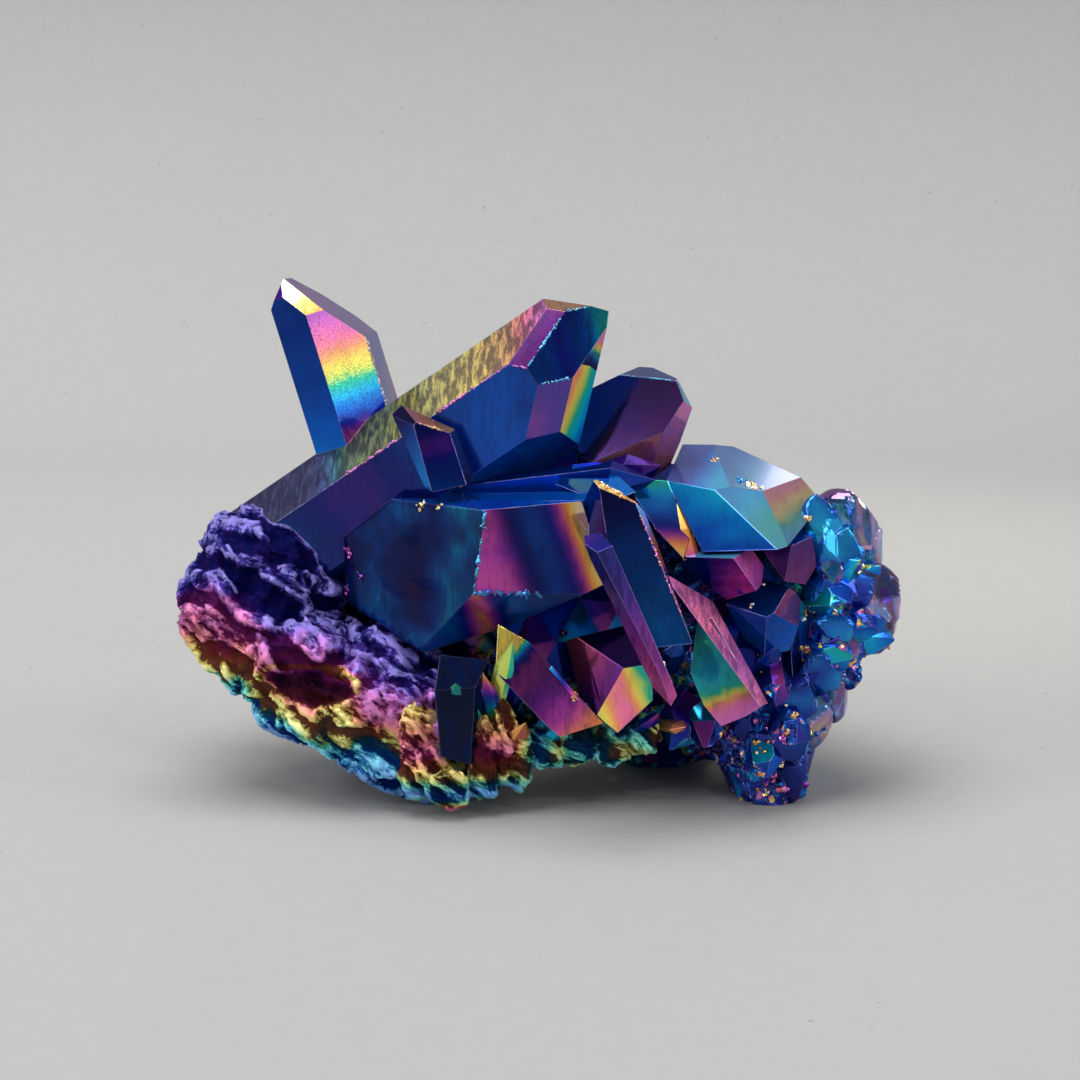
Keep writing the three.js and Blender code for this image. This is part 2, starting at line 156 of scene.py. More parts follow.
def new_material(name):
    """Begins a material. Gives a Wire to make nodes with, and a function that ends the material
    with its shader and returns it."""
    made = bpy.data.materials.new(name)
    made.use_nodes = True
    tree = made.node_tree
    tree.nodes.clear()
    start = Wire(tree)

    def end(shader, volume=None):
        out = tree.nodes.new("ShaderNodeOutputMaterial")
        tree.links.new(shader.socket, out.inputs["Surface"])
        if volume:
            tree.links.new(volume.socket, out.inputs["Volume"])
        return made

    return start, end


def noise_on(start, place, scale, detail=4.0, roughness=0.55, distortion=0.0):
    """A noise from 0 to 1 with `scale` waves to a metre (or to a unit of `place`)."""
    sockets = {
        "Vector": place,
        "Scale": scale,
        "Detail": detail,
        "Roughness": roughness,
        "Distortion": distortion,
    }
    return start.node("ShaderNodeTexNoise", {}, sockets)


def grey_of(start, value):
    """The grey colour with this brightness."""
    return start.node("ShaderNodeCombineColor", {}, {0: value, 1: value, 2: value})


def mesh_object(name, points, faces, material=None):
    """A new object at the origin, made of these points (m) and faces."""
    data = bpy.data.meshes.new(name)
    data.from_pydata(points.tolist(), [], faces.tolist())
    made = bpy.data.objects.new(name, data)
    bpy.context.scene.collection.objects.link(made)
    if material:
        data.materials.append(material)
    return made


def sweep_sheet(half_width, front, back, radius, height, steps):
    """Points (x, y, z) of the sheet: floor from `front` to `back`, a quarter circle of `radius`
    up from there, then a wall to `height`; straight across in x."""
    floor = np.linspace(front, back, steps)
    turn = np.linspace(0, math.pi / 2, steps)[1:]
    y = np.concatenate([floor, back + radius * np.sin(turn), [back + radius]])
    z = np.concatenate([floor * 0, radius * (1 - np.cos(turn)), [height]])
    x = np.linspace(-half_width, half_width, steps)
    grid = np.stack([np.tile(x, len(y)), np.repeat(y, steps), np.repeat(z, steps)], axis=1)
    corner = np.arange(len(y) - 1)[:, None] * steps + np.arange(steps - 1)[None, :]
    corner = corner.reshape(-1)
    faces = np.stack([corner, corner + 1, corner + steps + 1, corner + steps], axis=1)
    return grid, faces


start, end = new_material("pale_concrete")
spot = start.node("ShaderNodeTexCoord", output=3)
cloud = noise_on(start, spot, 7.0, 4.0, 0.55)
fine = noise_on(start, spot, 320.0, 3.0, 0.7)
pits = noise_on(start, spot, 700.0, 0.0, 0.4).between(0.86, 0.90)
height = start.node("ShaderNodeSeparateXYZ", {}, {0: spot}, output=2)
# The sheet's colour: mottled, with tiny dark pits, and painted darker up the wall as painted shade
# where the lamps' light falls off.
tone = (cloud - 0.5) * 0.14 + (fine - 0.5) * 0.10 + 0.97 - height.between(0.0, 0.35) * 0.10
two_greys = {0: cloud, 6: (0.335, 0.335, 0.33, 1), 7: (0.30, 0.298, 0.292, 1)}
pale = start.node("ShaderNodeMix", {"data_type": "RGBA"}, two_greys, output=2)
worn = pale.times(grey_of(start, tone)).mixed((0.16, 0.15, 0.14, 1), pits * 0.5)
relief = start.node(
    "ShaderNodeBump", {}, {"Strength": 0.25, "Distance": 0.0002, "Height": fine - pits}
)
shader = start.node(
    "ShaderNodeBsdfPrincipled", {}, {"Base Color": worn, "Roughness": 0.8, "Normal": relief}
)
concrete = end(shader)
sheet = sweep_sheet(half_width=1.6, front=-1.2, back=0.22, radius=0.14, height=1.6, steps=40)
floor = mesh_object("studio_sweep", *sheet, concrete)
floor.data.polygons.foreach_set("use_smooth", np.ones(len(floor.data.polygons), bool))
floor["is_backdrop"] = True


def soft_light(name, place, size, power, colour=(1, 1, 1), seen=True):
    """A rectangular lamp that faces the cluster, with place and size in metres and power in watts.
    One that isn't seen still shows in reflections."""
    lamp = bpy.data.lights.new(name, "AREA")
    lamp.shape = "RECTANGLE"
    lamp.size, lamp.size_y = size
    lamp.energy = power
    lamp.color = colour
    made = bpy.data.objects.new(name, lamp)
    made.location = place
    direction = Vector((0, 0, 0.03)) - Vector(place)
    made.rotation_euler = direction.to_track_quat("-Z", "Y").to_euler()
    made.visible_camera = seen
    bpy.context.scene.collection.objects.link(made)


soft_light("top_light", (-0.10, 0.10, 0.85), (0.8, 0.6), 10.0)
soft_light("left_light", (-0.75, -0.35, 0.42), (0.35, 0.6), 3.5, (1.0, 0.98, 0.95))
soft_light("right_light", (0.80, -0.15, 0.40), (0.3, 0.5), 2.5, (0.95, 0.98, 1.0))
soft_light("front_strip", (0.47, -0.50, 0.20), (0.10, 0.13), 0.27)
soft_light("back_left_strip", (-0.30, 0.16, 0.30), (0.16, 0.08), 0.18, (1.0, 0.97, 0.9), False)
soft_light("back_right_strip", (0.09, 0.17, 0.11), (0.06, 0.05), 0.05, (1.0, 0.9, 0.75), False)
soft_light("spark_left", (-0.30, -0.35, 0.55), (0.03, 0.03), 0.30)
soft_light("spark_right", (0.25, -0.45, 0.50), (0.03, 0.03), 0.30)
room = bpy.data.worlds.new("room")
room.use_nodes = True
background = room.node_tree.nodes["Background"]
background.inputs["Color"].default_value = (0.62, 0.64, 0.68, 1)
background.inputs["Strength"].default_value = 0.48
bpy.context.scene.world = room
bpy.context.scene.view_settings.view_transform = "Standard"


# ---------------------------------------------------------------------------------------------
# The grown body: every point and shard with the broken rock they stand on, one closed solid.
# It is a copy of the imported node, merged, cut finer, with the rock worked into flakes and chips.
def corners_of(piece):
    """Where a piece's corners are, and the number of the corner at each corner of a face."""
    points = np.empty(len(piece.data.vertices) * 3)
    piece.data.vertices.foreach_get("co", points)
    used = np.empty(len(piece.data.loops), np.int64)
    piece.data.loops.foreach_get("vertex_index", used)
    return points.reshape(-1, 3), used


def welded(node, same=0.0005 * MM):
    """Corners and triangles of a CAD node, with coincident corners made one."""
    points, used = corners_of(node)
    keys = np.round(points / same).astype(np.int64)
    _, first, inverse = np.unique(keys, axis=0, return_index=True, return_inverse=True)
    triangles = inverse.reshape(-1)[used].reshape(-1, 3)
    solid = (triangles != np.roll(triangles, 1, axis=1)).all(axis=1)
    return points[first], triangles[solid]


def edges_of(triangles):
    """Each edge once as sorted ends, and for each triangle the three edges after its corners."""
    ends = np.stack([triangles, np.roll(triangles, -1, axis=1)], axis=2).reshape(-1, 2)
    ends = np.sort(ends, axis=1)
    keys = ends[:, 0] * (triangles.max() + 1) + ends[:, 1]
    _, first, inverse = np.unique(keys, return_index=True, return_inverse=True)
    return ends[first], inverse.reshape(-1, 3)


def unit(ways):
    """The same directions, each with length one."""
    return ways / np.maximum(np.linalg.norm(ways, axis=-1, keepdims=True), 1e-18)


def normals_and_areas(points, triangles):
    """Each triangle's outward normal, and its area: half the length of the cross product of two of
    its sides."""
    a, b, c = (points[triangles[:, i]] for i in range(3))
    cross = np.cross(b - a, c - a)
    length = np.linalg.norm(cross, axis=1)
    return cross / np.maximum(length, 1e-18)[:, None], length / 2


def flat_facets(points, triangles, same=math.cos(math.radians(0.6)), sliver=0.004 * MM):
    """Numbers the flat facets: triangles are in one facet where they share an edge and a plane.
    Also gives each facet's area and the length round it."""
    ends, edge_of = edges_of(triangles)
    normal, area = normals_and_areas(points, triangles)
    length = np.linalg.norm(points[ends[:, 0]] - points[ends[:, 1]], axis=1)
    thin = 2 * area / length[edge_of].max(axis=1) < sliver
    order = np.argsort(edge_of.reshape(-1), kind="stable")
    pairs = order.reshape(-1, 2) // 3
    edge = edge_of.reshape(-1)[order].reshape(-1, 2)[:, 0]
    i, j = pairs[:, 0], pairs[:, 1]
    joined = (normal[i] * normal[j]).sum(axis=1) > same
    joined |= (thin[i] | thin[j]) & (length[edge] > 0.9 * np.minimum(
        length[edge_of[i]].max(axis=1), length[edge_of[j]].max(axis=1)))
    joined &= ~(thin[i] & thin[j])
    label = np.arange(len(triangles))
    while True:
        low = np.minimum(label[i[joined]], label[j[joined]])
        new = label.copy()
        np.minimum.at(new, i[joined], low)
        np.minimum.at(new, j[joined], low)
        new = new[new]
        if (new == label).all():
            break
        label = new
    _, facet = np.unique(label, return_inverse=True)
    facet = facet.reshape(-1)
    size = np.bincount(facet, area)
    apart = facet[i] != facet[j]
    around = np.bincount(facet[i[apart]], length[edge[apart]], minlength=len(size))
    around += np.bincount(facet[j[apart]], length[edge[apart]], minlength=len(size))
    return facet, size, around


def refined(points, triangles, tag, limit, rounds=9):
    """Halves every edge longer than the limit of a triangle beside it, again and again. A triangle
    with one, two or three halved edges becomes two, three or four, so no gap opens."""
    for _ in range(rounds):
        ends, edge_of = edges_of(triangles)
        length = np.linalg.norm(points[ends[:, 0]] - points[ends[:, 1]], axis=1)
        allowed = np.full(len(ends), np.inf)
        np.minimum.at(allowed, edge_of.reshape(-1), np.repeat(limit[tag], 3))
        long = length > allowed
        if not long.any():
            break
        middle = np.full(len(ends), -1)
        middle[long] = len(points) + np.arange(long.sum())
        points = np.concatenate([points, points[ends[long]].mean(axis=1)])
        cut = long[edge_of]
        count = cut.sum(axis=1)
        # Turn each triangle so that a single cut edge comes first, or a single whole edge last.
        turn = np.zeros(len(triangles), np.int64)
        turn[count == 1] = np.argmax(cut[count == 1], axis=1)
        turn[count == 2] = (np.argmin(cut[count == 2], axis=1) + 1) % 3
        index = (turn[:, None] + np.arange(3)) % 3
        corner = np.take_along_axis(triangles, index, axis=1)
        mid = middle[np.take_along_axis(edge_of, index, axis=1)]
        a, b, c = corner.T
        ab, bc, ca = mid.T
        pieces = [(count == 0, [(a, b, c)]), (count == 1, [(a, ab, c), (ab, b, c)])]
        near = np.linalg.norm(points[a] - points[bc], axis=1)
        far = np.linalg.norm(points[ab] - points[c], axis=1)
        pieces.append(((count == 2) & (near < far), [(ab, b, bc), (a, ab, bc), (a, bc, c)]))
        pieces.append(((count == 2) & (near >= far), [(ab, b, bc), (a, ab, c), (ab, bc, c)]))
        pieces.append((count == 3, [(a, ab, ca), (ab, b, bc), (ca, bc, c), (ab, bc, ca)]))
        new, new_tag = [], []
        for chosen, shapes in pieces:
            for shape in shapes:
                new.append(np.stack([corner[chosen] for corner in shape], axis=1))
                new_tag.append(tag[chosen])
        triangles = np.concatenate(new)
        tag = np.concatenate(new_tag)
    return points, triangles, tag


def scattered(cell, seed):
    """A repeatable number from 0 to 1 for each whole-number cell (i, j, k)."""
    h = (cell[..., 0] * 374761393 + cell[..., 1] * 668265263 + cell[..., 2] * 2147483647)
    h = (h + seed * 974711) & 0xFFFFFFFF
    h = ((h ^ (h >> 13)) * 1274126177) & 0xFFFFFFFF
    h = ((h ^ (h >> 16)) * 2246822519) & 0xFFFFFFFF
    return ((h ^ (h >> 15)) & 0xFFFFFF) / 0xFFFFFF


def soft_noise(place, seed):
    """Values 0 to 1: random numbers on whole-number points, smoothly blended between them."""
    base = np.floor(place).astype(np.int64)
    t = place - base
    t = t * t * (3 - 2 * t)
    total = np.zeros(len(place))
    for corner in np.ndindex(2, 2, 2):
        share = np.prod(np.where(corner, t, 1 - t), axis=1)
        total += share * scattered(base + corner, seed)
    return total


def chips(place, seed, tilt=0.8):
    """Flat tilted chips: each point belongs to its nearest scattered seed, and rises along that
    seed's own random slope. Gives the rise, and a number for the chip."""
    base = np.floor(place).astype(np.int64)
    nearest = np.full(len(place), np.inf)
    rise = np.zeros(len(place))
    own = np.zeros(len(place))
    for step in np.ndindex(3, 3, 3):
        cell = base + step - 1
        seeds = cell + np.stack([scattered(cell, seed + k) for k in (1, 2, 3)], axis=1)
        slope = np.stack([scattered(cell, seed + k) for k in (4, 5, 6)], axis=1) - 0.5
        gap = place - seeds
        far = (gap**2).sum(axis=1)
        closer = far < nearest
        nearest[closer] = far[closer]
        level = scattered(cell, seed + 7) - 0.5
        rise[closer] = (tilt * 2 * (gap * slope).sum(axis=1) + level)[closer]
        own[closer] = scattered(cell, seed + 8)[closer]
    return rise, own


body_points, body_triangles = welded(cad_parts["quartz_cluster"])
facet, facet_area, facet_round = flat_facets(body_points, body_triangles)
facet_middle = np.zeros((len(facet_area), 3))
_, small_area = normals_and_areas(body_points, body_triangles)
for axis in range(3):
    middle = body_points[body_triangles].mean(axis=1)[:, axis]
    facet_middle[:, axis] = np.bincount(facet, small_area * middle) / facet_area

tree = BVHTree.FromPolygons(body_points.tolist(), body_triangles.tolist())


def facet_at(x, y, z):
    """The flat facet nearest to a place given in millimetres."""
    return facet[tree.find_nearest((x * MM, y * MM, z * MM))[2]]


# Facets with a short outline or hardly any area are grains of rock. Somewhat larger ones are rock
# as well at the left end, on the far side and under the middle, but not on the points above.
x, y, z = (facet_middle / MM).T
area = facet_area / MM**2
rocky = (facet_round < 8.5 * MM) | (area < 1.0)
rocky |= (x < -11) & (z < 34) & (area < 12)
rocky |= (y > 8) & (z < 26) & (area < 15)
rocky |= (x < 14) & (z < 30) & (area < 8)
rocky &= (y < 17.5) & (z < 40)
broken_end = facet_at(-16.2, -10.2, 29.2)
# The longest edge (mm) on rock, on crystal faces and on the broken end.
longest = np.where(rocky, 0.57, 2.0)
longest[broken_end] = 1.0
points, triangles, tag = refined(body_points, body_triangles, facet, longest * MM)


def spread_from(points, triangles, held, reach):
    """How far each corner is from the held corners, in steps along edges, from 0 up to `reach`."""
    ends, _ = edges_of(triangles)
    length = np.linalg.norm(points[ends[:, 0]] - points[ends[:, 1]], axis=1)
    far = np.where(held, 0.0, reach)
    for _ in range(12):
        np.minimum.at(far, ends[:, 0], far[ends[:, 1]] + length)
        np.minimum.at(far, ends[:, 1], far[ends[:, 0]] + length)
    return np.minimum(far, reach)


def evened(points, triangles, free, rounds, pull=0.5):
    """Each free corner moves part of the way to the mean of its neighbours, `rounds` times."""
    ends, _ = edges_of(triangles)
    count = np.bincount(ends.reshape(-1), minlength=len(points))[:, None]
    points = points.copy()
    for _ in range(rounds):
        total = np.zeros_like(points)
        np.add.at(total, ends[:, 0], points[ends[:, 1]])
        np.add.at(total, ends[:, 1], points[ends[:, 0]])
        points += (free * pull)[:, None] * (total / count - points)
    return points


def corner_normals(points, triangles):
    """Normals of the corners, from the triangles round each, by area."""
    normal, area = normals_and_areas(points, triangles)
    total = np.zeros_like(points)
    for i in range(3):
        np.add.at(total, triangles[:, i], normal * area[:, None])
    return unit(total)


# The rock is evened out, then cut into pits, strands and flakes that run down to the right. It
# stays put where it meets a crystal and where it stands on the ground.
in_crystal = np.zeros(len(points), bool)
in_crystal[triangles[~rocky[tag]].reshape(-1)] = True
on_ground = points[:, 2] < 0.02 * MM
room_left = spread_from(points, triangles, in_crystal | on_ground, 1.0 * MM) / MM
points = evened(points, triangles, room_left, 4)
flake_along = np.array([0.78, -0.10, -0.62])
flake_up = np.array([0.55, -0.25, 0.80])
flake_out = np.cross(flake_along, flake_up)
flake_size = np.array([4.4, 2.0, 2.2]) * MM


def flake_lay(points):
    """A place in the grain of the rock: along, across and out of the flakes, in flake sizes, with
    a slow sway so that they wander."""
    lay = np.stack([points @ flake_along, points @ flake_up, points @ flake_out], axis=1)
    sway = np.stack([soft_noise(points / (3.0 * MM), 11 + k) for k in range(3)], axis=1) - 0.5
    return lay / flake_size + 0.8 * sway


def rock_form(points, lay):
    """How far the rock stands out (mm), and how near each place is to the crest of a flake, which
    sets the rock's painted highlight and painted shade: long pits between raised strands, with
    tilted flakes over both."""
    pits = np.clip((0.50 - soft_noise(lay * (0.7, 1.3, 1.2), 21)) / 0.08, 0, 1)
    strands = 1 - np.abs(2 * soft_noise(lay * (1.1, 2.6, 2.4), 22) - 1)
    flakes, _ = chips(lay * (1.5, 2.2, 2.0) + 3, 24, 0.8)
    small, _ = chips(points / (0.95 * MM), 31, 0.9)
    rise = 0.25 - 0.85 * pits + 0.45 * strands**2 + 0.50 * flakes + 0.15 * small
    crest = 0.10 + (1 - pits) * (0.36 + 0.55 * strands**3 + 0.40 * flakes)
    return rise, crest


lay = flake_lay(points)
rise, crest = rock_form(points, lay)

# One deep pit under the knob of rock on the left, in front.
x, y, z = (points / MM).T
at_pit = ((x + 27 + 0.5 * (z - 15)) / 4.6) ** 2 + ((z - 15) / 2.1) ** 2 + 10.0 * (y > 0)
at_pit += 1.2 * (soft_noise(points / (1.8 * MM), 25) - 0.5)
deep_pit = np.clip((1.0 - at_pit) * 2.5, 0, 1)
rise -= 0.6 * deep_pit
# The pit loses its crest, and so the painted highlight: it is painted in shade.
crest *= 1 - 0.8 * deep_pit

# The rock is flaky at the left and goes over to small flat grains at the right. Where it meets a
# crystal it counts as crest, so it gets the pale painted highlight of the crests.
grains, grain_own = chips(points / (0.95 * MM), 31, 0.9)
lumps = soft_noise(points / (2.2 * MM), 41) - 0.5
flaky = np.clip((12 * MM - points[:, 0]) / (8 * MM), 0, 1)
rise = flaky * rise + (1 - flaky) * (0.48 * grains + 0.3 * lumps)
beside_crystal = np.clip(1 - room_left / 0.8, 0, 1)
crest = np.clip(np.maximum(crest, beside_crystal), 0, 1)
points += corner_normals(points, triangles) * ((rise - 0.08) * MM * room_left)[:, None]

# The broken end of the broad crystal is a shallow shell with a few broad waves in it.
on_rim = np.ones(len(points), bool)
on_rim[triangles[tag == broken_end].reshape(-1)] = False
on_rim[triangles[tag != broken_end].reshape(-1)] = True
inward = spread_from(points, triangles, on_rim, 4.0 * MM) / MM
waves = soft_noise(points / (5.0 * MM) + 2, 62) - 0.5 + 0.35 * soft_noise(points / (1.9 * MM), 63)
dish = 0.10 * (1 - (1 - inward / 4.0) ** 2)
hollow = (dish + 0.6 * waves * np.minimum(inward / 4, 1.0) ** 2) * (inward > 0) * MM
face_out = np.array([-0.60, -0.80, 0.06])
points -= np.maximum(hollow, 0)[:, None] * face_out

low, high = (np.array(corner) for corner in cad_box)
points = np.clip(points, low, high)


# The film: its thickness from 0 to 1 on every corner decides the colour, as on tempered steel:
# straw, gold, magenta, violet, blue, cyan, green, yellow, pink, and round again. Beside it go the
# painted light and shade on the face (how bright it is painted), how gritty it is, with painted
# sparkle in the grit, how much it is patched dark in streaks, how milky it is, with a painted sheen
# of the pale room, and how soft: where the film is thin, more light comes back out of the stone.
# A patch: the face, where the change of colour starts and ends on it (mm), film from start to end,
# painted light and shade from start to end, then grit with its painted sparkle, dark patching,
# milkiness with its painted sheen, and softness.
patches = [
    ("tall point, left side", (-30.5, 4, 56), (-26.5, 3, 42.5),
     (0.4, 0.41, 0.45), (0.5, 0.65, 0.95), 0, 0.1, 0, 0.16),
    ("tall point, front side", (-26.5, 4, 58.5), (-21.5, 3, 44.5),
     (0.91, 0.87, 0.84, 0.79, 0.74, 0.69, 0.58, 0.5, 0.43, 0.2),
     (0.85, 0.9, 0.95, 1, 1.05, 1, 0.95, 1, 1, 0.9), 1, 0.1, 0.08, 0.16),
    # A painted highlight: the bright tip is painted near white and bright.
    ("tall point, bright tip", (-31.5, 6, 61.5), (-27.5, 4.5, 59.5),
     (0, 0.02, 0.07, 0.1), (1.1, 1.1, 0.9, 0.4), 0.9, 0.5, 0, 0.16),
    ("tall point, tip to the right", (-28, 10, 59.5), (-21.5, 15, 55),
     (0.25, 0.27), (0.7, 0.7), 0, 0, 0.4, 0.16),
    ("tall point, right side", (-21, 6.5, 54), (-18, 12.5, 46),
     (0.5, 0.5, 0.86), (0.8, 0.8, 0.8), 0, 0, 0.8, 0.16),
    ("long point, upper side", (-41, 6.5, 31.5), (0.5, -3, 59.5),
     (0.36, 0.36, 0.36, 0.36, 0.67, 0.7, 0.71, 0.72, 0.73, 0.76, 0.88),
     (0.2, 0.2, 0.2, 0.22, 0.25, 0.4, 0.5, 0.6, 0.7, 0.65, 0.9), 0.8, 0.8, 0.3, 0.25),
    ("long point, violet bevel", (-2, -8, 53), (1.5, -3, 59.5),
     (0.25, 0.245, 0.24), (0.2, 0.2, 0.24), 1, 0.3, 0, 0.16),
    ("long point, top", (3.5, -2, 60), (6.5, -1.5, 60),
     (0.1, 0.12), (0.6, 0.5), 0, 0.3, 0.4, 0.16),
    ("long point, window", (0.5, -6, 55.5), (7.5, -2.5, 56.5),
     (0.42, 0.4, 0.32, 0.38, 0.42, 0.45, 0.6),
     (0.5, 0.55, 0.7, 0.6, 0.5, 0.5, 0.45), 0.25, 0.4, 0, 0.16),
    ("long point, mauve bevel", (1.5, -7.5, 51), (1, -7, 44.5),
     (0.29, 0.28, 0.27), (1, 1, 1), 0, 0.1, 0.3, 0.16),
    ("long point, rainbow tip", (3.5, -7, 51), (7.5, -0.5, 48),
     (0.8, 0.78, 0.7, 0.62, 0.54, 0.47), (1.4, 1.4, 1.3, 1.2, 1.2, 1.1), 0, 0.1, 0, 0.6),
    ("long point, pink tip", (8.5, -2, 58), (6, -4, 52),
     (0.86, 0.86, 0.84, 0.31, 0.36), (0.8, 0.8, 0.7, 0.25, 0.3), 0, 0.2, 0.15, 0.6),
    ("long point, front side", (-36, -2.5, 28), (-2, -8, 51),
     (0.42, 0.41, 0.38, 0.32, 0.31, 0.36, 0.41, 0.42, 0.42, 0.42),
     (0.55, 0.6, 0.5, 0.55, 0.5, 0.6, 0.8, 0.95, 1, 1), 0, 0.25, 0.1, 0.16),
    ("long point, underside", (-4.5, -4, 39.5), (6.5, -1.5, 43),
     (0.45, 0.43, 0.42), (0.7, 0.6, 0.5), 0, 0.2, 0, 0.65),
    ("blunt point, front", (8.5, 2.5, 47.5), (17, -2, 45),
     (0.33, 0.28, 0.265, 0.26), (0.2, 0.14, 0.14, 0.16), 0.12, 0.5, 0, 0.3),
    ("blunt point, lower face", (11, -1.5, 41.5), (16, -0.5, 39.5),
     (0.13, 0.17, 0.2), (0.55, 0.5, 0.4), 0.1, 0.3, 0.2, 0.4),
    ("blunt point, right side", (19, 2, 46.5), (17, 5, 38.5),
     (0.86, 0.85, 0.83), (1, 0.7, 0.5), 0, 0.2, 0.3, 0.4),
    ("blunt point, top", (11, 3.5, 50.5), (16.5, 3, 50.5),
     (0.5, 0.5), (0.45, 0.6), 0, 0, 0.8, 0.16),
    ("blunt point, glint", (18, 2, 49.5), (18, 1.5, 48.5),
     (0.56, 0.6), (1.5, 1.4), 0.4, 0, 0.3, 0.16),
    ("small purple point, top", (-15.5, -7, 47.5), (-11, -9, 46),
     (0.14, 0.13, 0.08), (0.7, 0.7, 1.2), 0.2, 0.1, 0.45, 0.16),
    ("small purple point, front", (-13.5, -10.5, 46), (-11, -13, 40),
     (0.36, 0.28, 0.38, 0.41), (0.3, 0.55, 0.5, 0.5), 0, 0.2, 0, 0.16),
    ("small purple point, left", (-17, -7.5, 46), (-13.5, -12.5, 40.5),
     (0.38, 0.47, 0.5), (0.2, 0.6, 0.8), 0, 0.2, 0, 0.16),
    ("small purple point, right", (-10, -10.5, 45), (-8.5, -11, 40.5),
     (0.45, 0.42), (0.6, 0.5), 0, 0, 0.3, 0.16),
    ("small purple point, dark tip", (-17, -6, 47.5), (-16, -7.5, 47.5),
     (0.36, 0.36), (0.12, 0.12), 0, 0, 0, 0.16),
    ("low dome", (8, -6.5, 41.5), (4.5, -11.5, 39),
     (0.28, 0.36, 0.42, 0.44), (0.9, 0.9, 0.7, 0.6), 0, 0.1, 0, 0.16),
    ("broad crystal, front", (-10, -17.5, 30.5), (8.5, -15.5, 37),
     (0.215, 0.215, 0.215, 0.215, 0.22, 0.27, 0.38, 0.43, 0.4, 0.28, 0.1, 0.02, 0.01, 0.01),
     (1.2, 1.2, 1.2, 1.1, 0.9, 0.3, 0.35, 0.5, 0.5, 0.5, 0.8, 0.8, 0.7, 0.6), 0, 0.3, 0, 0.3),
    ("broad crystal, broken end", (-23.5, -5, 27.5), (-9, -15.5, 31),
     (0.29, 0.36, 0.4, 0.37, 0.36, 0.33, 0.4),
     (0.4, 0.22, 0.2, 0.26, 0.24, 0.2, 0.35), 0, 0.5, 0, 0.16),
    ("broad crystal, upper face", (-16.5, -8.5, 37.5), (4, -16.5, 38.5),
     (0.38, 0.42, 0.38, 0.46), (0.5, 0.9, 1, 0.9), 0, 0.4, 0, 0.6),
    ("broad crystal, lower face", (-10, -14.5, 23), (4, -15.5, 26),
     (0.45, 0.1, 0.48, 0.46, 0.44), (0.5, 0.7, 0.45, 0.35, 0.3), 0, 0.2, 0, 0.5),
    ("slim prism, front", (8, -19, 39), (14.5, -23.5, 23.5),
     (0.34, 0.45, 0.47, 0.46), (0.15, 0.3, 0.32, 0.38), 0, 0.3, 0, 0.3),
    ("slim prism, left side", (6, -16, 38.5), (6, -16, 34.5),
     (0.34, 0.36), (0.16, 0.2), 0, 0.2, 0, 0.16),
    ("slim prism, right side", (12, -18, 37.5), (15.5, -18.5, 30.5),
     (0.1, 0.13, 0.17), (0.8, 0.7, 0.6), 0.1, 0.2, 0.3, 0.16),
    # A painted glint: the gold tip is painted bright.
    ("slim prism, gold tip", (7.5, -17, 40.5), (10.5, -17.5, 39),
     (0.06, 0.05, 0.08, 0.1), (1.8, 1.8, 1.5, 1.2), 1, 0.5, 0, 0.16),
    ("lilac blade, front", (7, -25, 34.5), (14.5, -27, 17),
     (0.36, 0.31, 0.27, 0.25, 0.23, 0.21, 0.2),
     (0.6, 0.6, 0.8, 0.9, 1, 1.2, 1.2), 0, 0.5, 0.12, 0.4),
    ("lilac blade, right side", (9.9, -25.6, 33.4), (16.5, -28.6, 15.8),
     (0.33, 0.29, 0.26, 0.23, 0.21, 0.2), (0.6, 0.7, 0.9, 1.1, 1.3, 1.3), 0, 0.5, 0.15, 0.5),
    ("lilac blade, top", (6, -21.5, 35.5), (7.5, -22, 35.5),
     (0.3, 0.34), (0.5, 0.5), 0, 0.2, 0, 0.16),
    ("six-sided point, top", (18.5, -11.5, 31), (25, -15, 32),
     (0.5, 0.55), (1, 1), 0, 0, 0.5, 0.5),
    ("six-sided point, front", (18.5, -13, 30), (24.5, -16, 27.5),
     (0.44, 0.31, 0.25, 0.22), (0.45, 0.45, 0.45, 0.6), 0, 0.2, 0, 0.3),
    ("six-sided point, tip", (25, -15, 31.5), (27, -14.5, 29.5),
     (0.2, 0.2, 0.22), (1.3, 1.2, 0.9), 0.2, 0.2, 0.1, 0.5),
    ("teal face", (16, -4.5, 39), (16.5, -12.5, 31.5),
     (0.66, 0.6, 0.52, 0.48, 0.45, 0.38, 0.24, 0.13, 0.08),
     (0.8, 0.8, 0.85, 0.9, 0.85, 0.7, 0.8, 1.1, 1.4), 0, 0.1, 0.1, 0.16),
    ("shoulder point, dark side", (21.5, -11, 36.5), (27, -11.5, 37.5),
     (0.38, 0.37, 0.38, 0.4, 0.5, 0.54, 0.56),
     (0.6, 0.5, 0.5, 0.6, 0.65, 0.7, 0.7), 0, 0.2, 0.12, 0.35),
    ("shoulder point, steel side", (22, -7.5, 39), (29, -12.5, 35.5),
     (0.49, 0.52, 0.56, 0.6), (0.7, 0.7, 0.7, 0.65), 0, 0.1, 0.45, 0.4),
    ("shoulder point, right side", (28, -5.5, 38.5), (33.5, -8.5, 35),
     (0.84, 0.8, 0.7, 0.55), (0.6, 0.6, 0.5, 0.5), 0, 0.15, 0.5, 0.5),
    ("shoulder point, upper left", (17.5, 0, 39.5), (23, -1.5, 39.5),
     (0.42, 0.4, 0.5, 0.55), (0.9, 0.9, 1, 1), 0, 0.1, 0.45, 0.55),
    ("shoulder point, upper right", (24, 2, 40), (31.5, -0.5, 38.5),
     (0.5, 0.55, 0.5), (0.8, 0.8, 0.8), 0, 0.1, 0.7, 0.5),
    ("dark red point, front", (28, -13.5, 32.5), (31.5, -14, 31.5),
     (0.23, 0.26, 0.22), (0.4, 0.25, 0.35), 0.25, 0.5, 0, 0.3),
    ("dark red point, right side", (32.5, -12, 32), (33, -11.5, 28.5),
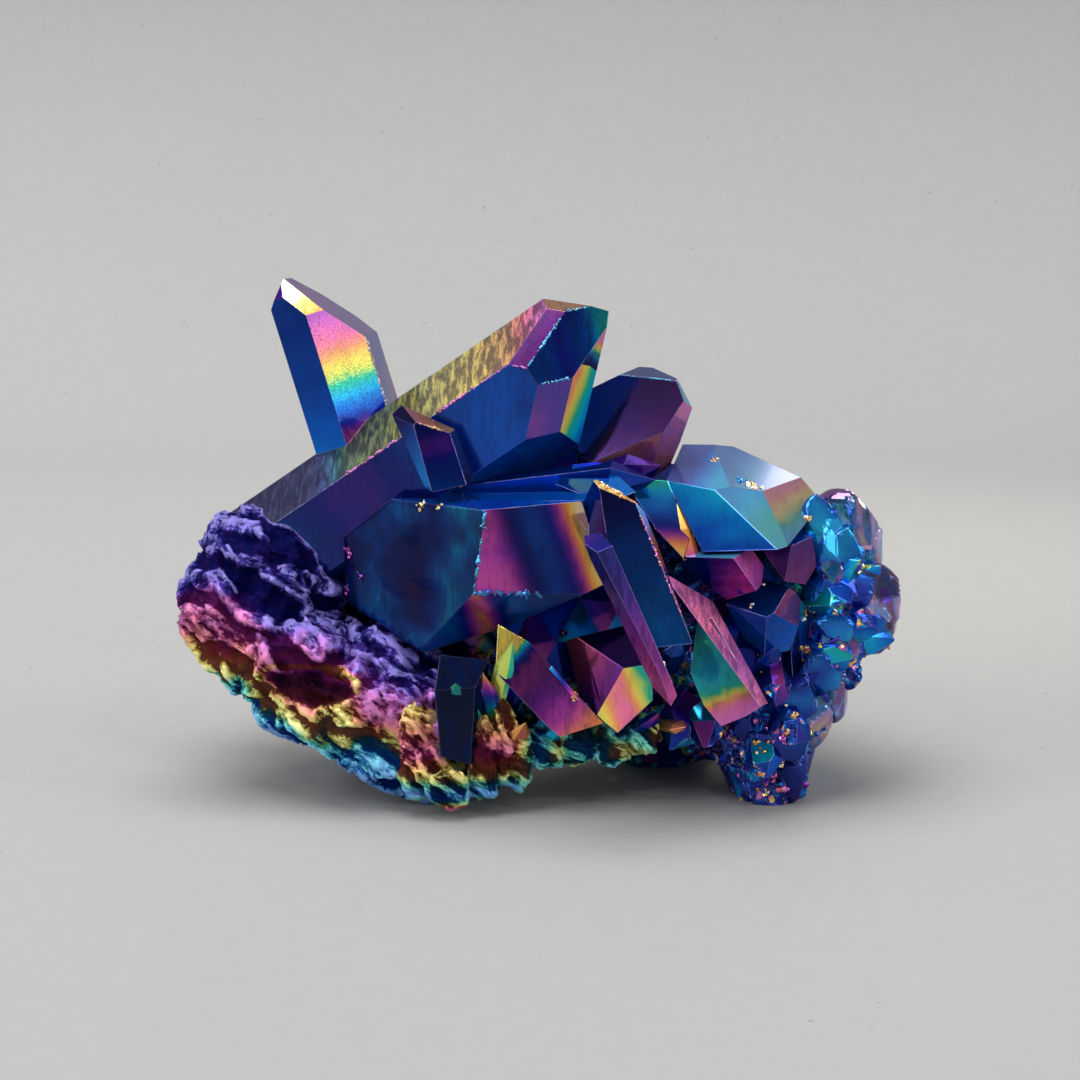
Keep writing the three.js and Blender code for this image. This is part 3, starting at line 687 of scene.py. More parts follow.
     (0.25, 0.22), (0.4, 0.4), 0.3, 0.4, 0.1, 0.3),
    ("dark blue point, top", (25, -13, 25.5), (30, -13.5, 26.5),
     (0.42, 0.4), (0.6, 0.7), 0.1, 0.2, 0, 0.4),
    ("dark blue point, left side", (25, -14.5, 24), (27, -15, 20),
     (0.45, 0.44), (0.7, 0.6), 0, 0.2, 0, 0.4),
    ("dark blue point, front", (28.5, -15.5, 23), (30, -13.5, 19),
     (0.42, 0.44), (0.7, 0.8), 0, 0.2, 0, 0.4),
    ("dark blue point, right side", (30.5, -13.5, 25), (31.5, -14, 23),
     (0.2, 0.22), (0.8, 0.7), 0.1, 0.2, 0.3, 0.16),
    ("pink spine", (19, -14.5, 27), (25, -21, 16.5),
     (0.86, 0.84, 0.88, 0.84), (1.1, 1.1, 1, 1), 0.9, 0.6, 0.2, 0.5),
    ("teal slab", (20, -16.5, 23), (23.5, -19.5, 12.5),
     (0.63, 0.63, 0.62, 0.61, 0.6, 0.6, 0.6, 0.8, 0.87, 0.88),
     (0.9, 0.9, 0.9, 0.9, 0.9, 0.9, 0.9, 0.9, 1.1, 1.1), 0, 0.25, 0.12, 0.4),
    ("violet prism, end", (7, -17.5, 13.5), (13, -19, 16.5),
     (0.71, 0.79, 0.86, 0.84, 0.74, 0.62), (1, 1, 1, 1, 0.9, 0.8), 0, 0.15, 0, 0.5),
    ("violet prism, left side", (4.5, -13.5, 17.5), (7.5, -17, 15),
     (0.17, 0.26), (0.35, 0.25), 0, 0.3, 0, 0.16),
    ("violet prism, upper side", (7.5, -15, 20), (11, -18, 19),
     (0.3, 0.3), (0.16, 0.2), 0, 0.2, 0, 0.16),
    ("bright plate", (-4.5, -16, 21.5), (5.5, -18, 12),
     (0.73, 0.8, 0.24, 0.22, 0.25, 0.21, 0.2, 0.12),
     (1, 0.8, 0.35, 0.4, 0.45, 0.8, 1.1, 1.1), 0.1, 0.4, 0, 0.4),
    ("dark prism, top", (-10, -17.5, 18), (-8.5, -18, 17.5),
     (0.4, 0.42), (0.12, 0.2), 0, 0.8, 0, 0.16),
    ("dark prism, front", (-11, -19.5, 16), (-8.5, -19, 10),
     (0.46, 0.44), (0.05, 0.14), 0, 0.8, 0, 0.16),
    ("dark prism, right side", (-7, -18.5, 16), (-6.5, -16.5, 9),
     (0.5, 0.54), (0.25, 0.2), 0, 0.5, 0, 0.16),
    ("foot face", (31.5, -11.5, 18.5), (32.5, -11, 10),
     (0.4, 0.42, 0.36), (0.35, 0.4, 0.35), 0.1, 0.3, 0, 0.16),
    ("lilac blade, lowest tip", (14.9, -28.3, 19.6), (15.3, -28.3, 17.6),
     (0.21, 0.2), (1.2, 1.2), 0, 0.3, 0.1, 0.16),
    ("pink spine, inner edge", (21, -16.9, 23.9), (21.2, -17.1, 23.3),
     (0.86, 0.86), (0.6, 0.6), 0, 0.3, 0.2, 0.16),
]
# The pink tip and the rainbow tip share a face, so the pink patch stops where it ends.
stops_at_end = "long point, pink tip"

# Faces without a patch of their own: a film tone and a painted light level for each, with a gentle
# drift of the tone across it.
place = points[triangles] / MM
tones = np.array([0.38, 0.42, 0.45, 0.36, 0.27, 0.40, 0.48, 0.34, 0.23, 0.36, 0.44, 0.54])
dice = np.random.default_rng(12)
facet_tone = tones[dice.integers(len(tones), size=len(facet_area))]
facet_drift = dice.normal(size=(len(facet_area), 3)) * 0.012
facet_bright = dice.uniform(0.45, 1.0, len(facet_area))
offset = place - facet_middle[tag][:, None, :] / MM
drift = (offset * facet_drift[tag][:, None, :]).sum(axis=2)
film = facet_tone[tag][:, None] + np.clip(drift, -0.10, 0.10)
bright = np.repeat(facet_bright[tag][:, None], 3, axis=1)
grit = np.zeros(triangles.shape)
worn = np.full(triangles.shape, 0.2)
milky = np.zeros(triangles.shape)
soft = np.full(triangles.shape, 0.36)
# The glassy right-hand end is bluer, with more painted light, and changes slowly from face to face.
at_end = (facet_middle[:, 0] > 31 * MM)[tag]
smooth_tone = 0.47 + 0.34 * (soft_noise(points / (5.0 * MM), 53) - 0.5)[triangles]
own_tone = 0.10 * (facet_tone - 0.40) / 0.2
film[at_end] = (smooth_tone + own_tone[tag][:, None])[at_end]
bright[at_end] = 0.7 + 0.5 * facet_bright[tag[at_end]][:, None]

for name, first, last, films, brights, *surface in patches:
    first, last = np.array(first), np.array(last)
    here = np.flatnonzero(tag == facet_at(*((first + last) / 2)))
    along = last - first
    t = ((place[here] - first) @ along) / (along @ along)
    if name == stops_at_end:
        inside = (t < 1.0).all(axis=1)
        here, t = here[inside], t[inside]
    film[here] = np.interp(t, np.linspace(0, 1, len(films)), films)
    bright[here] = np.interp(t, np.linspace(0, 1, len(brights)), brights)
    grit[here], worn[here], milky[here], soft[here] = surface

# The broken end: painted light and shade that follow its waves, dark blue where they run low,
# with a lighter, greener right edge.
broken = tag == broken_end
wave = waves[triangles][broken]
bright[broken] = 0.10 + 0.30 * np.clip(wave + 0.3, 0, 1)
film[broken] = 0.35 + 0.24 * wave + 0.09 * np.clip((place[broken][..., 0] + 12.5) / 2, 0, 1)
worn[broken] = 0.45
grit[broken] = 0.25
soft[broken] = 0.3

# Rock: bands that follow its lower edge, given by height above it (mm): azure and cyan, then green
# and yellow, pink, and violet to navy on top. Under the middle it turns teal, and at the glassy end
# navy. Broad and fine sways keep the bands from running level.
stone = rocky[tag]
x, y, z = np.moveaxis(place[stone], -1, 0)
edge_x = [-46, -44.2, -41.7, -39.2, -36.8, -33, -29.4, -23.2, -17, -13.3, -6]
edge_z = [6, 8, 10, 10.2, 8.8, 6.5, 5, 2.9, 1, -0.5, -1]
lower_edge = np.interp(x, edge_x, edge_z)
broad_sway = (soft_noise(points / (4.0 * MM), 51) - 0.5)[triangles][stone]
fine_sway = (soft_noise(points / (1.3 * MM), 52) - 0.5)[triangles][stone]
above = z - lower_edge + 4.0 * broad_sway + 1.6 * fine_sway
band_height = [-1, 2.4, 4.2, 5.2, 6.0, 8.0, 9.4, 11.2, 14.2, 16.2, 18]
band_film = [0.49, 0.52, 0.56, 0.63, 0.69, 0.73, 0.79, 0.85, 0.89, 0.96, 1.0]
banded = np.interp(above, band_height, band_film)
# Gold creeps round the deep pit.
pit_rim = np.clip(1 - np.abs(at_pit[triangles][stone] - 1.6) / 0.5, 0, 1) * (z > 14.5)
banded = banded * (1 - pit_rim) + 0.71 * pit_rim
middle_tone = np.interp(z, [2, 7, 12, 20, 30], [0.56, 0.60, 0.50, 0.42, 0.38]) + 0.3 * broad_sway
end_tone = np.interp(z, [0, 6, 14, 24, 34], [0.24, 0.40, 0.42, 0.45, 0.50]) + 0.3 * broad_sway
to_middle = np.clip((x + 9) / 5, 0, 1)
to_end = np.clip((x - 17) / 5, 0, 1)
tone = banded * (1 - to_middle) + middle_tone * to_middle
tone = tone * (1 - to_end) + end_tone * to_end
per_grain = grain_own[triangles][stone].mean(axis=1, keepdims=True) - 0.5
film[stone] = tone + (0.04 + 0.30 * to_middle) * per_grain
# Painted light and shade on the rock: flaky rock is painted brightest low down and near its top,
# and painted shade darkens the rock in the pit, in the cave under the middle and on the far side.
flaky_here = 1 - np.clip((x - 4) / 8, 0, 1)
lift = 1.3 * np.clip((11 - above) / 6, 0, 1) + 0.6 * np.clip((above - 13) / 4, 0, 1)
lift += 0.9 * np.clip((4.5 - above) / 3, 0, 1) - 0.7 * deep_pit[triangles][stone]
bright[stone] = (0.9 + lift) * flaky_here + (0.35 + 0.6 * (per_grain + 0.5)) * (1 - flaky_here)
cave = np.clip((x + 10) / 4, 0, 1) * np.clip((19 - x) / 4, 0, 1) * np.clip((z - 8) / 6, 0, 1)
bright[stone] *= 1 - 0.55 * cave
bright[stone] *= 1 - 0.6 * np.clip((y - 2) / 8, 0, 1)
# The right foot sparkles: chips of gold, rose and azure among the blue, with painted light that is
# strongest on the gold chips.
on_foot = to_end * np.clip((26 - z) / 4, 0, 1) > 0.5
chip = np.broadcast_to(per_grain + 0.5, film[stone].shape)
kinds = [chip > 0.9, chip > 0.83, chip > 0.75]
chip_film = np.select(kinds, [0.07, 0.86, 0.52], 0.32 + 0.16 * chip)
film[stone] = np.where(on_foot, chip_film, film[stone])
bright[stone] = np.where(on_foot, 0.55 + 0.7 * chip, bright[stone])
grit[stone] = 0.35
worn[stone] = 0.30
milky[stone] = 0.05
crest_here = np.ones(triangles.shape)
crest_here[stone] = crest[triangles][stone]

body = mesh_object("quartz_body", points, triangles)
layers = {
    "film": film, "bright": bright, "grit": grit, "worn": worn, "milky": milky,
    "crest": crest_here, "soft": soft,
}
for name, values in layers.items():
    layer = body.data.attributes.new(name, "FLOAT", "CORNER")
    layer.data.foreach_set("value", np.clip(values, 0, 2).reshape(-1).astype(np.float32))
# Streaks run down each crystal face: across, down and out of the face, with down drawn out.
outward, size = normals_and_areas(body_points, body_triangles)
face_normal = np.zeros((len(facet_area), 3))
np.add.at(face_normal, facet, outward * size[:, None])
face_normal = unit(face_normal)
sideways = np.where(np.abs(face_normal[:, :1]) > 0.85, (0, 1.0, 0), (1.0, 0, 0))
down = unit(np.cross(face_normal, sideways))
level_way = np.cross(face_normal, down)
ways = (level_way, down, face_normal)
grain = np.stack([(points[triangles] * way[tag][:, None]).sum(axis=2) for way in ways], axis=-1)
grain *= (1, 0.2, 1)
grain[stone] = lay[triangles][stone]
layer = body.data.attributes.new("lay", "FLOAT_VECTOR", "CORNER")
layer.data.foreach_set("vector", grain.reshape(-1).astype(np.float32))
# The glassy end keeps small flat chips; only the flaky rock and the broken end are smooth-shaded.
flaky_rock = stone & (points[triangles].mean(axis=1)[:, 0] < 9 * MM)
body.data.polygons.foreach_set("use_smooth", flaky_rock | (tag == broken_end))
body.data.polygons.foreach_set("material_index", flaky_rock.astype(np.int32))


def film_colour(start, thickness):
    """The film's colour at each thickness. The colours are given as the eye sees them (sRGB), and
    made linear."""
    seen = [
        (0.00, (0.99, 0.95, 0.84)), (0.06, (0.96, 0.76, 0.36)), (0.12, (0.92, 0.52, 0.28)),
        (0.18, (0.80, 0.33, 0.56)), (0.23, (0.60, 0.20, 0.62)), (0.28, (0.36, 0.14, 0.64)),
        (0.33, (0.08, 0.12, 0.60)), (0.38, (0.00, 0.20, 0.62)), (0.44, (0.00, 0.34, 0.76)),
        (0.50, (0.00, 0.52, 0.86)), (0.55, (0.05, 0.70, 0.90)), (0.60, (0.12, 0.74, 0.74)),
        (0.64, (0.16, 0.76, 0.56)), (0.69, (0.78, 0.86, 0.40)), (0.74, (0.98, 0.84, 0.36)),
        (0.79, (0.98, 0.60, 0.42)), (0.84, (0.97, 0.48, 0.66)), (0.89, (0.82, 0.42, 0.80)),
        (0.95, (0.36, 0.28, 0.74)), (1.00, (0.05, 0.22, 0.60)),
    ]
    stops = [(at, tuple(((c + 0.055) / 1.055) ** 2.4 for c in colour)) for at, colour in seen]
    return start.node("ShaderNodeValToRGB", {"stops": stops}, {"Fac": thickness.clamped()})


def painted(start, layer, output=2):
    """What is painted on the corners under this name: a number, or a place with output=1."""
    return start.node("ShaderNodeAttribute", {"attribute_name": layer}, output=output)


def coated_quartz(name):
    """Metal film on smooth quartz faces: clouded, with grit and painted sparkle, painted inner
    reflections, dark streaked patches, and pale rims painted on as a highlight.
    """
    start, end = new_material(name)
    spot = start.node("ShaderNodeTexCoord", output=3)
    layers = ("film", "bright", "grit", "worn", "milky", "soft")
    thick, shine, grit, worn, milky, soft = (painted(start, layer) for layer in layers)
    lay = painted(start, "lay", output=1)
    clouds = noise_on(start, spot, 105.0, 4.0, 0.5, 0.8)
    painted_inner_light = noise_on(start, spot, 75.0, 4.0, 0.6, 2.0)
    streaks = noise_on(start, lay, 1400.0, 6.0, 0.75, 0.3)
    sand = noise_on(start, spot, 5200.0, 2.0, 0.7)
    thickness = thick + (clouds - 0.5) * (0.15 - worn * 0.10) + (sand - 0.5) * grit * 0.10
    colour = film_colour(start, thickness)
    # The face's painted light, with painted inner reflections in slow veils of noise and painted
    # sparkle where there is grit.
    level = shine * (0.62 + painted_inner_light * 0.76) * (1 + (sand - 0.45) * grit * 3.2)
    lit = colour.times(grey_of(start, level))
    # Milkiness mixes in a pale grey-blue: partly the stone's own cloudiness, partly a painted sheen
    # of the pale room.
    lit = lit.mixed((0.15, 0.18, 0.25, 1), milky * 0.85)
    # Dark patches in streaks, mixed to near black where the patching is set.
    patch = (streaks + worn * 0.12).between(0.50, 0.64) * worn
    lit = lit.mixed((0.006, 0.008, 0.025, 1), patch * 0.96)
    rounded = start.node("ShaderNodeBevel", {"samples": 6}, {"Radius": 0.15 * MM})
    facing = start.node("ShaderNodeNewGeometry", output=1)
    alike = start.node(
        "ShaderNodeVectorMath", {"operation": "DOT_PRODUCT"}, {0: rounded, 1: facing}, output=1
    )
    # A pale lilac painted highlight along the rounded edges, where the bevelled normal turns away
    # from the face's.
    rim_highlight = (1 - alike).between(0.01, 0.12) * (0.25 + streaks.between(0.42, 0.60) * 0.75)
    lit = lit.mixed((0.62, 0.50, 0.78, 1), rim_highlight * 0.55)
    relief = start.node(
        "ShaderNodeBump",
        {},
        {"Strength": 0.3, "Distance": 0.0001, "Height": sand * grit + streaks * worn * 0.3,
         "Normal": rounded},
    )
    rough = (0.07 + grit * 0.20 + worn * 0.10 + (clouds - 0.5) * 0.06 + milky * 0.08).clamped()
    shader = start.node(
        "ShaderNodeBsdfPrincipled",
        {},
        {
            "Base Color": lit,
            "Metallic": 1 - soft,
            "Roughness": rough,
            "Specular Tint": (0.55, 0.45, 0.75, 1),
            "Coat Weight": 0.08,
            "Coat Roughness": 0.03,
            "Normal": relief,
        },
    )
    return end(shader)


def coated_rock(name):
    """The same film on rough rock, with painted shade and highlights: dark pits and darker slopes
    as painted shade, thin pale crests as painted highlights.
    """
    start, end = new_material(name)
    spot = start.node("ShaderNodeTexCoord", output=3)
    thick, shine, crest = (painted(start, layer) for layer in ("film", "bright", "crest"))
    lay = painted(start, "lay", output=1)
    drawn = start.node("ShaderNodeMapping", {}, {"Vector": lay, "Scale": (1.0, 2.6, 2.6)})
    flakes = noise_on(start, lay, 2.9, 6.0, 0.68, 0.5)
    hairs = noise_on(start, drawn, 3.4, 5.0, 0.72, 0.6)
    clouds = noise_on(start, spot, 220.0, 3.0, 0.6)
    sand = noise_on(start, spot, 4200.0, 2.0, 0.7)
    thickness = thick + (clouds - 0.5) * 0.10 + (hairs - 0.5) * 0.06
    colour = film_colour(start, thickness)
    height = crest + (flakes - 0.5) * 1.7 + (hairs - 0.5) * 1.1
    # Painted shade and light by the height of the flakes: dark in the pits, darker on the slopes,
    # pale on the tops.
    slope = height.between(0.44, 0.51)
    top = height.between(0.66, 0.75)
    deep = colour.times((0.10, 0.035, 0.11, 1))
    slope_shade = colour.mixed((0.30, 0.05, 0.34, 1), 0.15).times(grey_of(start, 0.20 + hairs * 0.60))
    pale = colour.mixed((0.62, 0.46, 0.60, 1), 0.24)
    lit = deep.mixed(slope_shade, slope).mixed(pale, top).times(grey_of(start, shine))
    relief = start.node(
        "ShaderNodeBump",
        {},
        {"Strength": 1.0, "Distance": 0.00035,
         "Height": slope * 0.4 + top * 0.4 + hairs * 0.6 + sand * 0.12},
    )
    shader = start.node(
        "ShaderNodeBsdfPrincipled",
        {},
        {
            "Base Color": lit,
            "Metallic": 0.6,
            "Specular IOR Level": 0.08,
            "Roughness": (0.50 - top * 0.10 - sand * 0.1).clamped(),
            "Specular Tint": (0.7, 0.6, 0.8, 1),
            "Normal": relief,
        },
    )
    return end(shader)


coating = coated_quartz("coated_quartz")
rock_coating = coated_rock("coated_rock")
body.data.materials.append(coating)
body.data.materials.append(rock_coating)
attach(body, "root")
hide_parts("quartz_cluster")


# ---------------------------------------------------------------------------------------------
# Smaller crystals and slivers of the same coated quartz, grown between the large ones. Nearly all
# are rooted in the body or its lumps. Each is a flattened six-sided prism with an off-centre tip.

# A point's corners are numbered 0 to 5 round the root, 6 to 11 round the shoulder, and 12 the tip.
# Its faces are two triangles a wall, one a roof face, and four under the root.
ring = np.arange(6)
onward = np.roll(ring, -1)
point_faces = np.concatenate([
    np.stack([ring, onward, 6 + onward], axis=1),
    np.stack([ring, 6 + onward, 6 + ring], axis=1),
    np.stack([6 + ring, 6 + onward, np.full(6, 12)], axis=1),
    np.stack([np.zeros(4, int), np.arange(2, 6), np.arange(1, 5)], axis=1),
])
face_side = np.concatenate([ring, ring, ring, np.zeros(4, int)])


def quartz_points(root, way, side, across, flat, length, shoulder):
    """Closed six-sided points, all in one array: a ring at the root and one at the shoulder, both
    `across` wide and `flat` times that deep, and a tip at the full length."""
    side = unit(side - (side * way).sum(axis=1, keepdims=True) * way)
    other = np.cross(way, side) * flat[:, None]
    turn = ring * math.pi / 3
    spoke = side[:, None] * np.cos(turn)[:, None] + other[:, None] * np.sin(turn)[:, None]
    spoke *= across[:, None, None] / 2
    high = root + way * (shoulder * length)[:, None]
    tip = root + way * length[:, None] + spoke[:, 1] * 0.25
    points = np.concatenate([root[:, None] + spoke, high[:, None] + spoke, tip[:, None]], axis=1)
    faces = point_faces[None] + 13 * np.arange(len(root))[:, None, None]
    return points.reshape(-1, 3), faces.reshape(-1, 3)


def point_values(first, last, dice, wobble):
    """Values on the corners of points, from `first` at the root to `last` at the tip, with each
    face a little different. Corners are in the order of the faces."""
    along = np.repeat([0.0, 0.75, 1.0], [6, 6, 1])
    t = along[point_faces.reshape(-1)]
    own = dice.normal(size=(len(first), 6)) * wobble
    per_face = np.repeat(own[:, face_side], 3, axis=1)
    return (first[:, None] * (1 - t) + last[:, None] * t + per_face).reshape(-1)


def dress(piece, **values):
    """Gives a piece its film, brightness and so on, one value for each corner."""
    corners = len(piece.data.loops)
    for name, value in values.items():
        layer = piece.data.attributes.new(name, "FLOAT", "CORNER")
        full = np.broadcast_to(value, corners)
        layer.data.foreach_set("value", np.ascontiguousarray(full, np.float32))


# Root (mm), tip (mm), wide side towards, width (mm), flatness, shoulder, film at root and at tip,
# painted light.
set_crystals = [
    ((-11.0, -5.0, 35.0), (10.0, -12.0, 36.6), (0, -1, 0.5), 8.0, 0.5, 0.90, 0.42, 0.44, 0.6),
    ((-9.0, -2.5, 35.8), (14.5, -6.5, 39.4), (0.1, -1, 0.7), 9.0, 0.5, 0.80, 0.44, 0.42, 0.6),
    ((3.0, 0.5, 36.0), (15.4, -3.8, 40.8), (0, -1, 0.6), 7.0, 0.6, 0.74, 0.42, 0.31, 0.5),
    ((-9.6, -17.4, 14.4), (-9.8, -19.7, 17.0), (1, 0, 0.1), 2.4, 0.6, 0.60, 0.58, 0.62, 0.3),
    ((-8.2, -16.0, 12.0), (-7.6, -17.8, 17.4), (1, 0, 0), 2.6, 0.8, 0.70, 0.45, 0.64, 0.3),
    ((1.6, -16.4, 18.2), (5.0, -17.9, 14.4), (1, 0, 0.4), 0.5, 0.6, 0.80, 0.56, 0.02, 1.6),
    ((18.6, -12.6, 30.6), (16.9, -7.0, 36.6), (1, 0.2, 0.1), 2.2, 0.25, 0.50, 0.14, 0.03, 0.9),
    ((-5.2, -15.5, 13.0), (-3.0, -18.0, 22.0), (1, -0.3, 0.1), 2.4, 0.35, 0.6, 0.72, 0.70, 1.0),
    ((-4.8, -15.0, 10.5), (-6.6, -18.0, 17.8), (1, -0.2, 0.2), 2.4, 0.4, 0.65, 0.86, 0.10, 0.9),
    ((-6.5, -14.5, 8.0), (-8.0, -18.8, 15.0), (1, -0.2, 0.1), 1.8, 0.5, 0.6, 0.50, 0.62, 0.7),
    ((-4.0, -14.0, 6.0), (-1.5, -17.8, 11.6), (1, 0.1, 0.4), 3.4, 0.5, 0.7, 0.20, 0.08, 0.8),
    ((1.0, -13.0, 7.0), (3.0, -16.2, 10.8), (1, 0.2, 0.2), 3.0, 0.6, 0.7, 0.50, 0.56, 0.9),
    ((12.0, -12.0, 9.0), (14.5, -17.5, 12.5), (1, 0.0, 0.6), 3.4, 0.5, 0.7, 0.86, 0.20, 0.8),
    ((15.5, -12.5, 10.0), (17.8, -17.8, 11.0), (1, 0.3, 0.2), 2.6, 0.6, 0.7, 0.72, 0.84, 0.7),
    # The next one stands 0.7 mm clear of the body.
    ((16.0, -12.0, 17.0), (17.0, -16.8, 21.5), (1, 0.3, 0.1), 3.6, 0.6, 0.7, 0.38, 0.44, 0.6),
    ((27.0, -10.0, 15.0), (28.5, -16.2, 20.5), (1, 0.3, 0.3), 3.4, 0.6, 0.7, 0.40, 0.46, 0.7),
    ((31.0, -8.0, 13.0), (34.6, -12.8, 16.8), (1, 0.6, 0.3), 4.0, 0.6, 0.7, 0.42, 0.36, 0.7),
    ((33.0, -6.0, 24.0), (37.4, -10.6, 25.6), (0.3, 0.6, 1), 4.0, 0.6, 0.65, 0.44, 0.26, 0.9),
    ((33.0, -7.0, 19.0), (36.8, -12.4, 20.6), (0.3, 0.6, 1), 4.4, 0.5, 0.7, 0.84, 0.28, 0.8),
]
root, tip, side, *numbers = (np.array(column, float) for column in zip(*set_crystals))
across, flat, shoulder, film_root, film_tip, level = numbers
length = np.linalg.norm(tip - root, axis=1)
corners, faces = quartz_points(
    root * MM, unit(tip - root), side, across * MM, flat, length * MM, shoulder
)
small_crystals = mesh_object("small_crystals", np.clip(corners, low, high), faces, coating)
dice = np.random.default_rng(5)
dress(
    small_crystals,
    film=point_values(film_root, film_tip, dice, 0.03),
    bright=point_values(level, level, dice, 0.12),
    worn=0.3,
    grit=0.1,
    soft=0.45,
)
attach(small_crystals, "root")


# ---------------------------------------------------------------------------------------------
# Lumps of the same flaky rock under the same film, grown round the dark prism and along the lower
# edge of the middle. Each is a rounded nugget with flakes raised on it, sunk into the body or into
# the lump beside it.
def nugget(middle, radii, seed, rings, around, planes, sharp, limit):
    """A rounded stone: in each direction its surface is where the first of many flat cuts comes,
    so it is a worn many-sided lump, never further out than 1 / limit of its radii. A higher
    `sharp` makes its edges crisper. Latitude runs over the rings, longitude around."""
    dice = np.random.default_rng(seed)
    cut = unit(dice.normal(size=(planes, 3)))
    depth = dice.uniform(0.72, 1.0, planes)
    up = np.linspace(0, math.pi, rings + 1)[1:-1]
    turn = np.arange(around) * 2 * math.pi / around
    east = np.outer(np.sin(up), np.cos(turn))
    north = np.outer(np.sin(up), np.sin(turn))
    level = np.outer(np.cos(up), np.ones(around))
    belts = np.stack([east, north, level], axis=-1).reshape(-1, 3)
    way = np.concatenate([[[0, 0, 1.0]], belts, [[0, 0, -1.0]]])
    toward = np.maximum(way @ cut.T, 0.05) / depth
    reach = ((toward**sharp).sum(axis=1) + limit**sharp) ** (-1 / sharp)
    points = np.array(middle) + way * reach[:, None] * np.array(radii)
    grid = 1 + np.arange((rings - 1) * around).reshape(rings - 1, around)
    a, b = grid[:-1], grid[1:]
    quads = np.stack([a, b, np.roll(b, -1, axis=1), np.roll(a, -1, axis=1)], axis=-1).reshape(-1, 4)
    triangles = np.concatenate([quads[:, [0, 1, 2]], quads[:, [0, 2, 3]]])
    top = np.stack([np.zeros(around, int), grid[0], np.roll(grid[0], -1)], axis=1)
    last = len(points) - 1
    foot = np.stack([np.full(around, last), np.roll(grid[-1], -1), grid[-1]], axis=1)
    return points, np.concatenate([top, triangles, foot])


def nuggets(name, lumps, seed, rings, around, planes, sharp, limit=0.92):
    """One mesh of several nuggets, each given by its middle and its radii (mm)."""
    points, faces, count = [], [], 0
    for k, (middle, radii) in enumerate(lumps):
        corners, made = nugget(middle, radii, seed + k, rings, around, planes, sharp, limit)
        points.append(corners * MM)
        faces.append(made + count)
        count += len(corners)
    return mesh_object(name, np.clip(np.concatenate(points), low, high), np.concatenate(faces))


rock_lumps = nuggets(
    "rock_lumps",
    [
        ((-13.6, -16.8, 5.6), (3.2, 2.6, 3.6)), ((-10.6, -18.2, 3.6), (3.0, 1.9, 2.4)),
        ((-6.4, -17.3, 6.6), (1.9, 1.6, 5.4)), ((-4.2, -16.6, 8.6), (1.7, 1.5, 5.2)),
        ((-2.2, -15.8, 6.6), (2.2, 1.8, 4.0)), ((-14.6, -15.6, 10.0), (2.2, 2.4, 3.4)),
        ((0.8, -14.4, 7.6), (2.9, 2.2, 2.7)), ((4.8, -14.4, 8.0), (3.0, 2.3, 2.5)),
        ((8.8, -14.2, 8.2), (2.9, 2.2, 2.4)), ((12.8, -14.0, 8.8), (2.7, 2.2, 2.2)),
    ],
    seed=700, rings=26, around=40, planes=22, sharp=22,
)
spots, used = corners_of(rock_lumps)
out = corner_normals(spots, used.reshape(-1, 3))
lump_lay = flake_lay(spots)
bumps, lump_crest = rock_form(spots, lump_lay)
spots = np.clip(spots + out * (bumps[:, None] - 0.1) * 0.7 * MM, low, high)
rock_lumps.data.vertices.foreach_set("co", spots.reshape(-1))
layer = rock_lumps.data.attributes.new("lay", "FLOAT_VECTOR", "POINT")
layer.data.foreach_set("vector", lump_lay.reshape(-1).astype(np.float32))
# Film by height (mm) at the left, going over to teal from x = -3 mm to the right.
by_height = np.interp(spots[:, 2] / MM, [1, 3, 5, 8, 13], [0.88, 0.50, 0.70, 0.84, 0.73])
teal_end = np.clip((spots[:, 0] / MM + 3) / 3, 0, 1)
teal = 0.52 + 0.22 * soft_noise(spots / (2.5 * MM), 95)
lump_film = by_height * (1 - teal_end) + teal * teal_end
# More painted light on the teal lumps.
lump_level = 1.2 + 0.5 * teal_end
dress(rock_lumps, film=lump_film[used], bright=lump_level[used], crest=lump_crest[used])
rock_lumps.data.materials.append(rock_coating)
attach(rock_lumps, "root")


# ---------------------------------------------------------------------------------------------
# Clear lumps at the right-hand end: rounded, many-sided nuggets of see-through quartz under a very
# thin film, grown over the small points there and sunk partly into the body.
clear_lumps = nuggets(
    "clear_lumps",
    [
        ((37.9, -4.5, 33.0), (4.6, 4.0, 4.6)), ((40.0, -5.0, 24.0), (5.4, 4.6, 4.4)),
        ((41.0, -4.0, 20.4), (3.6, 3.8, 3.8)), ((36.0, -7.0, 13.4), (3.0, 3.2, 4.6)),
        ((39.8, -1.0, 29.0), (4.4, 4.2, 4.2)), ((36.8, 2.0, 31.0), (4.2, 4.2, 4.2)),
        ((41.0, 1.5, 23.0), (3.9, 4.2, 4.2)), ((36.4, -9.2, 19.4), (3.0, 2.6, 3.6)),
        ((35.6, -8.4, 27.8), (2.8, 2.6, 3.4)), ((37.6, 1.0, 18.0), (4.0, 4.2, 4.2)),
        ((33.6, -9.6, 10.4), (2.6, 2.6, 4.2)),
    ],
    seed=300, rings=28, around=44, planes=15, sharp=34,
)


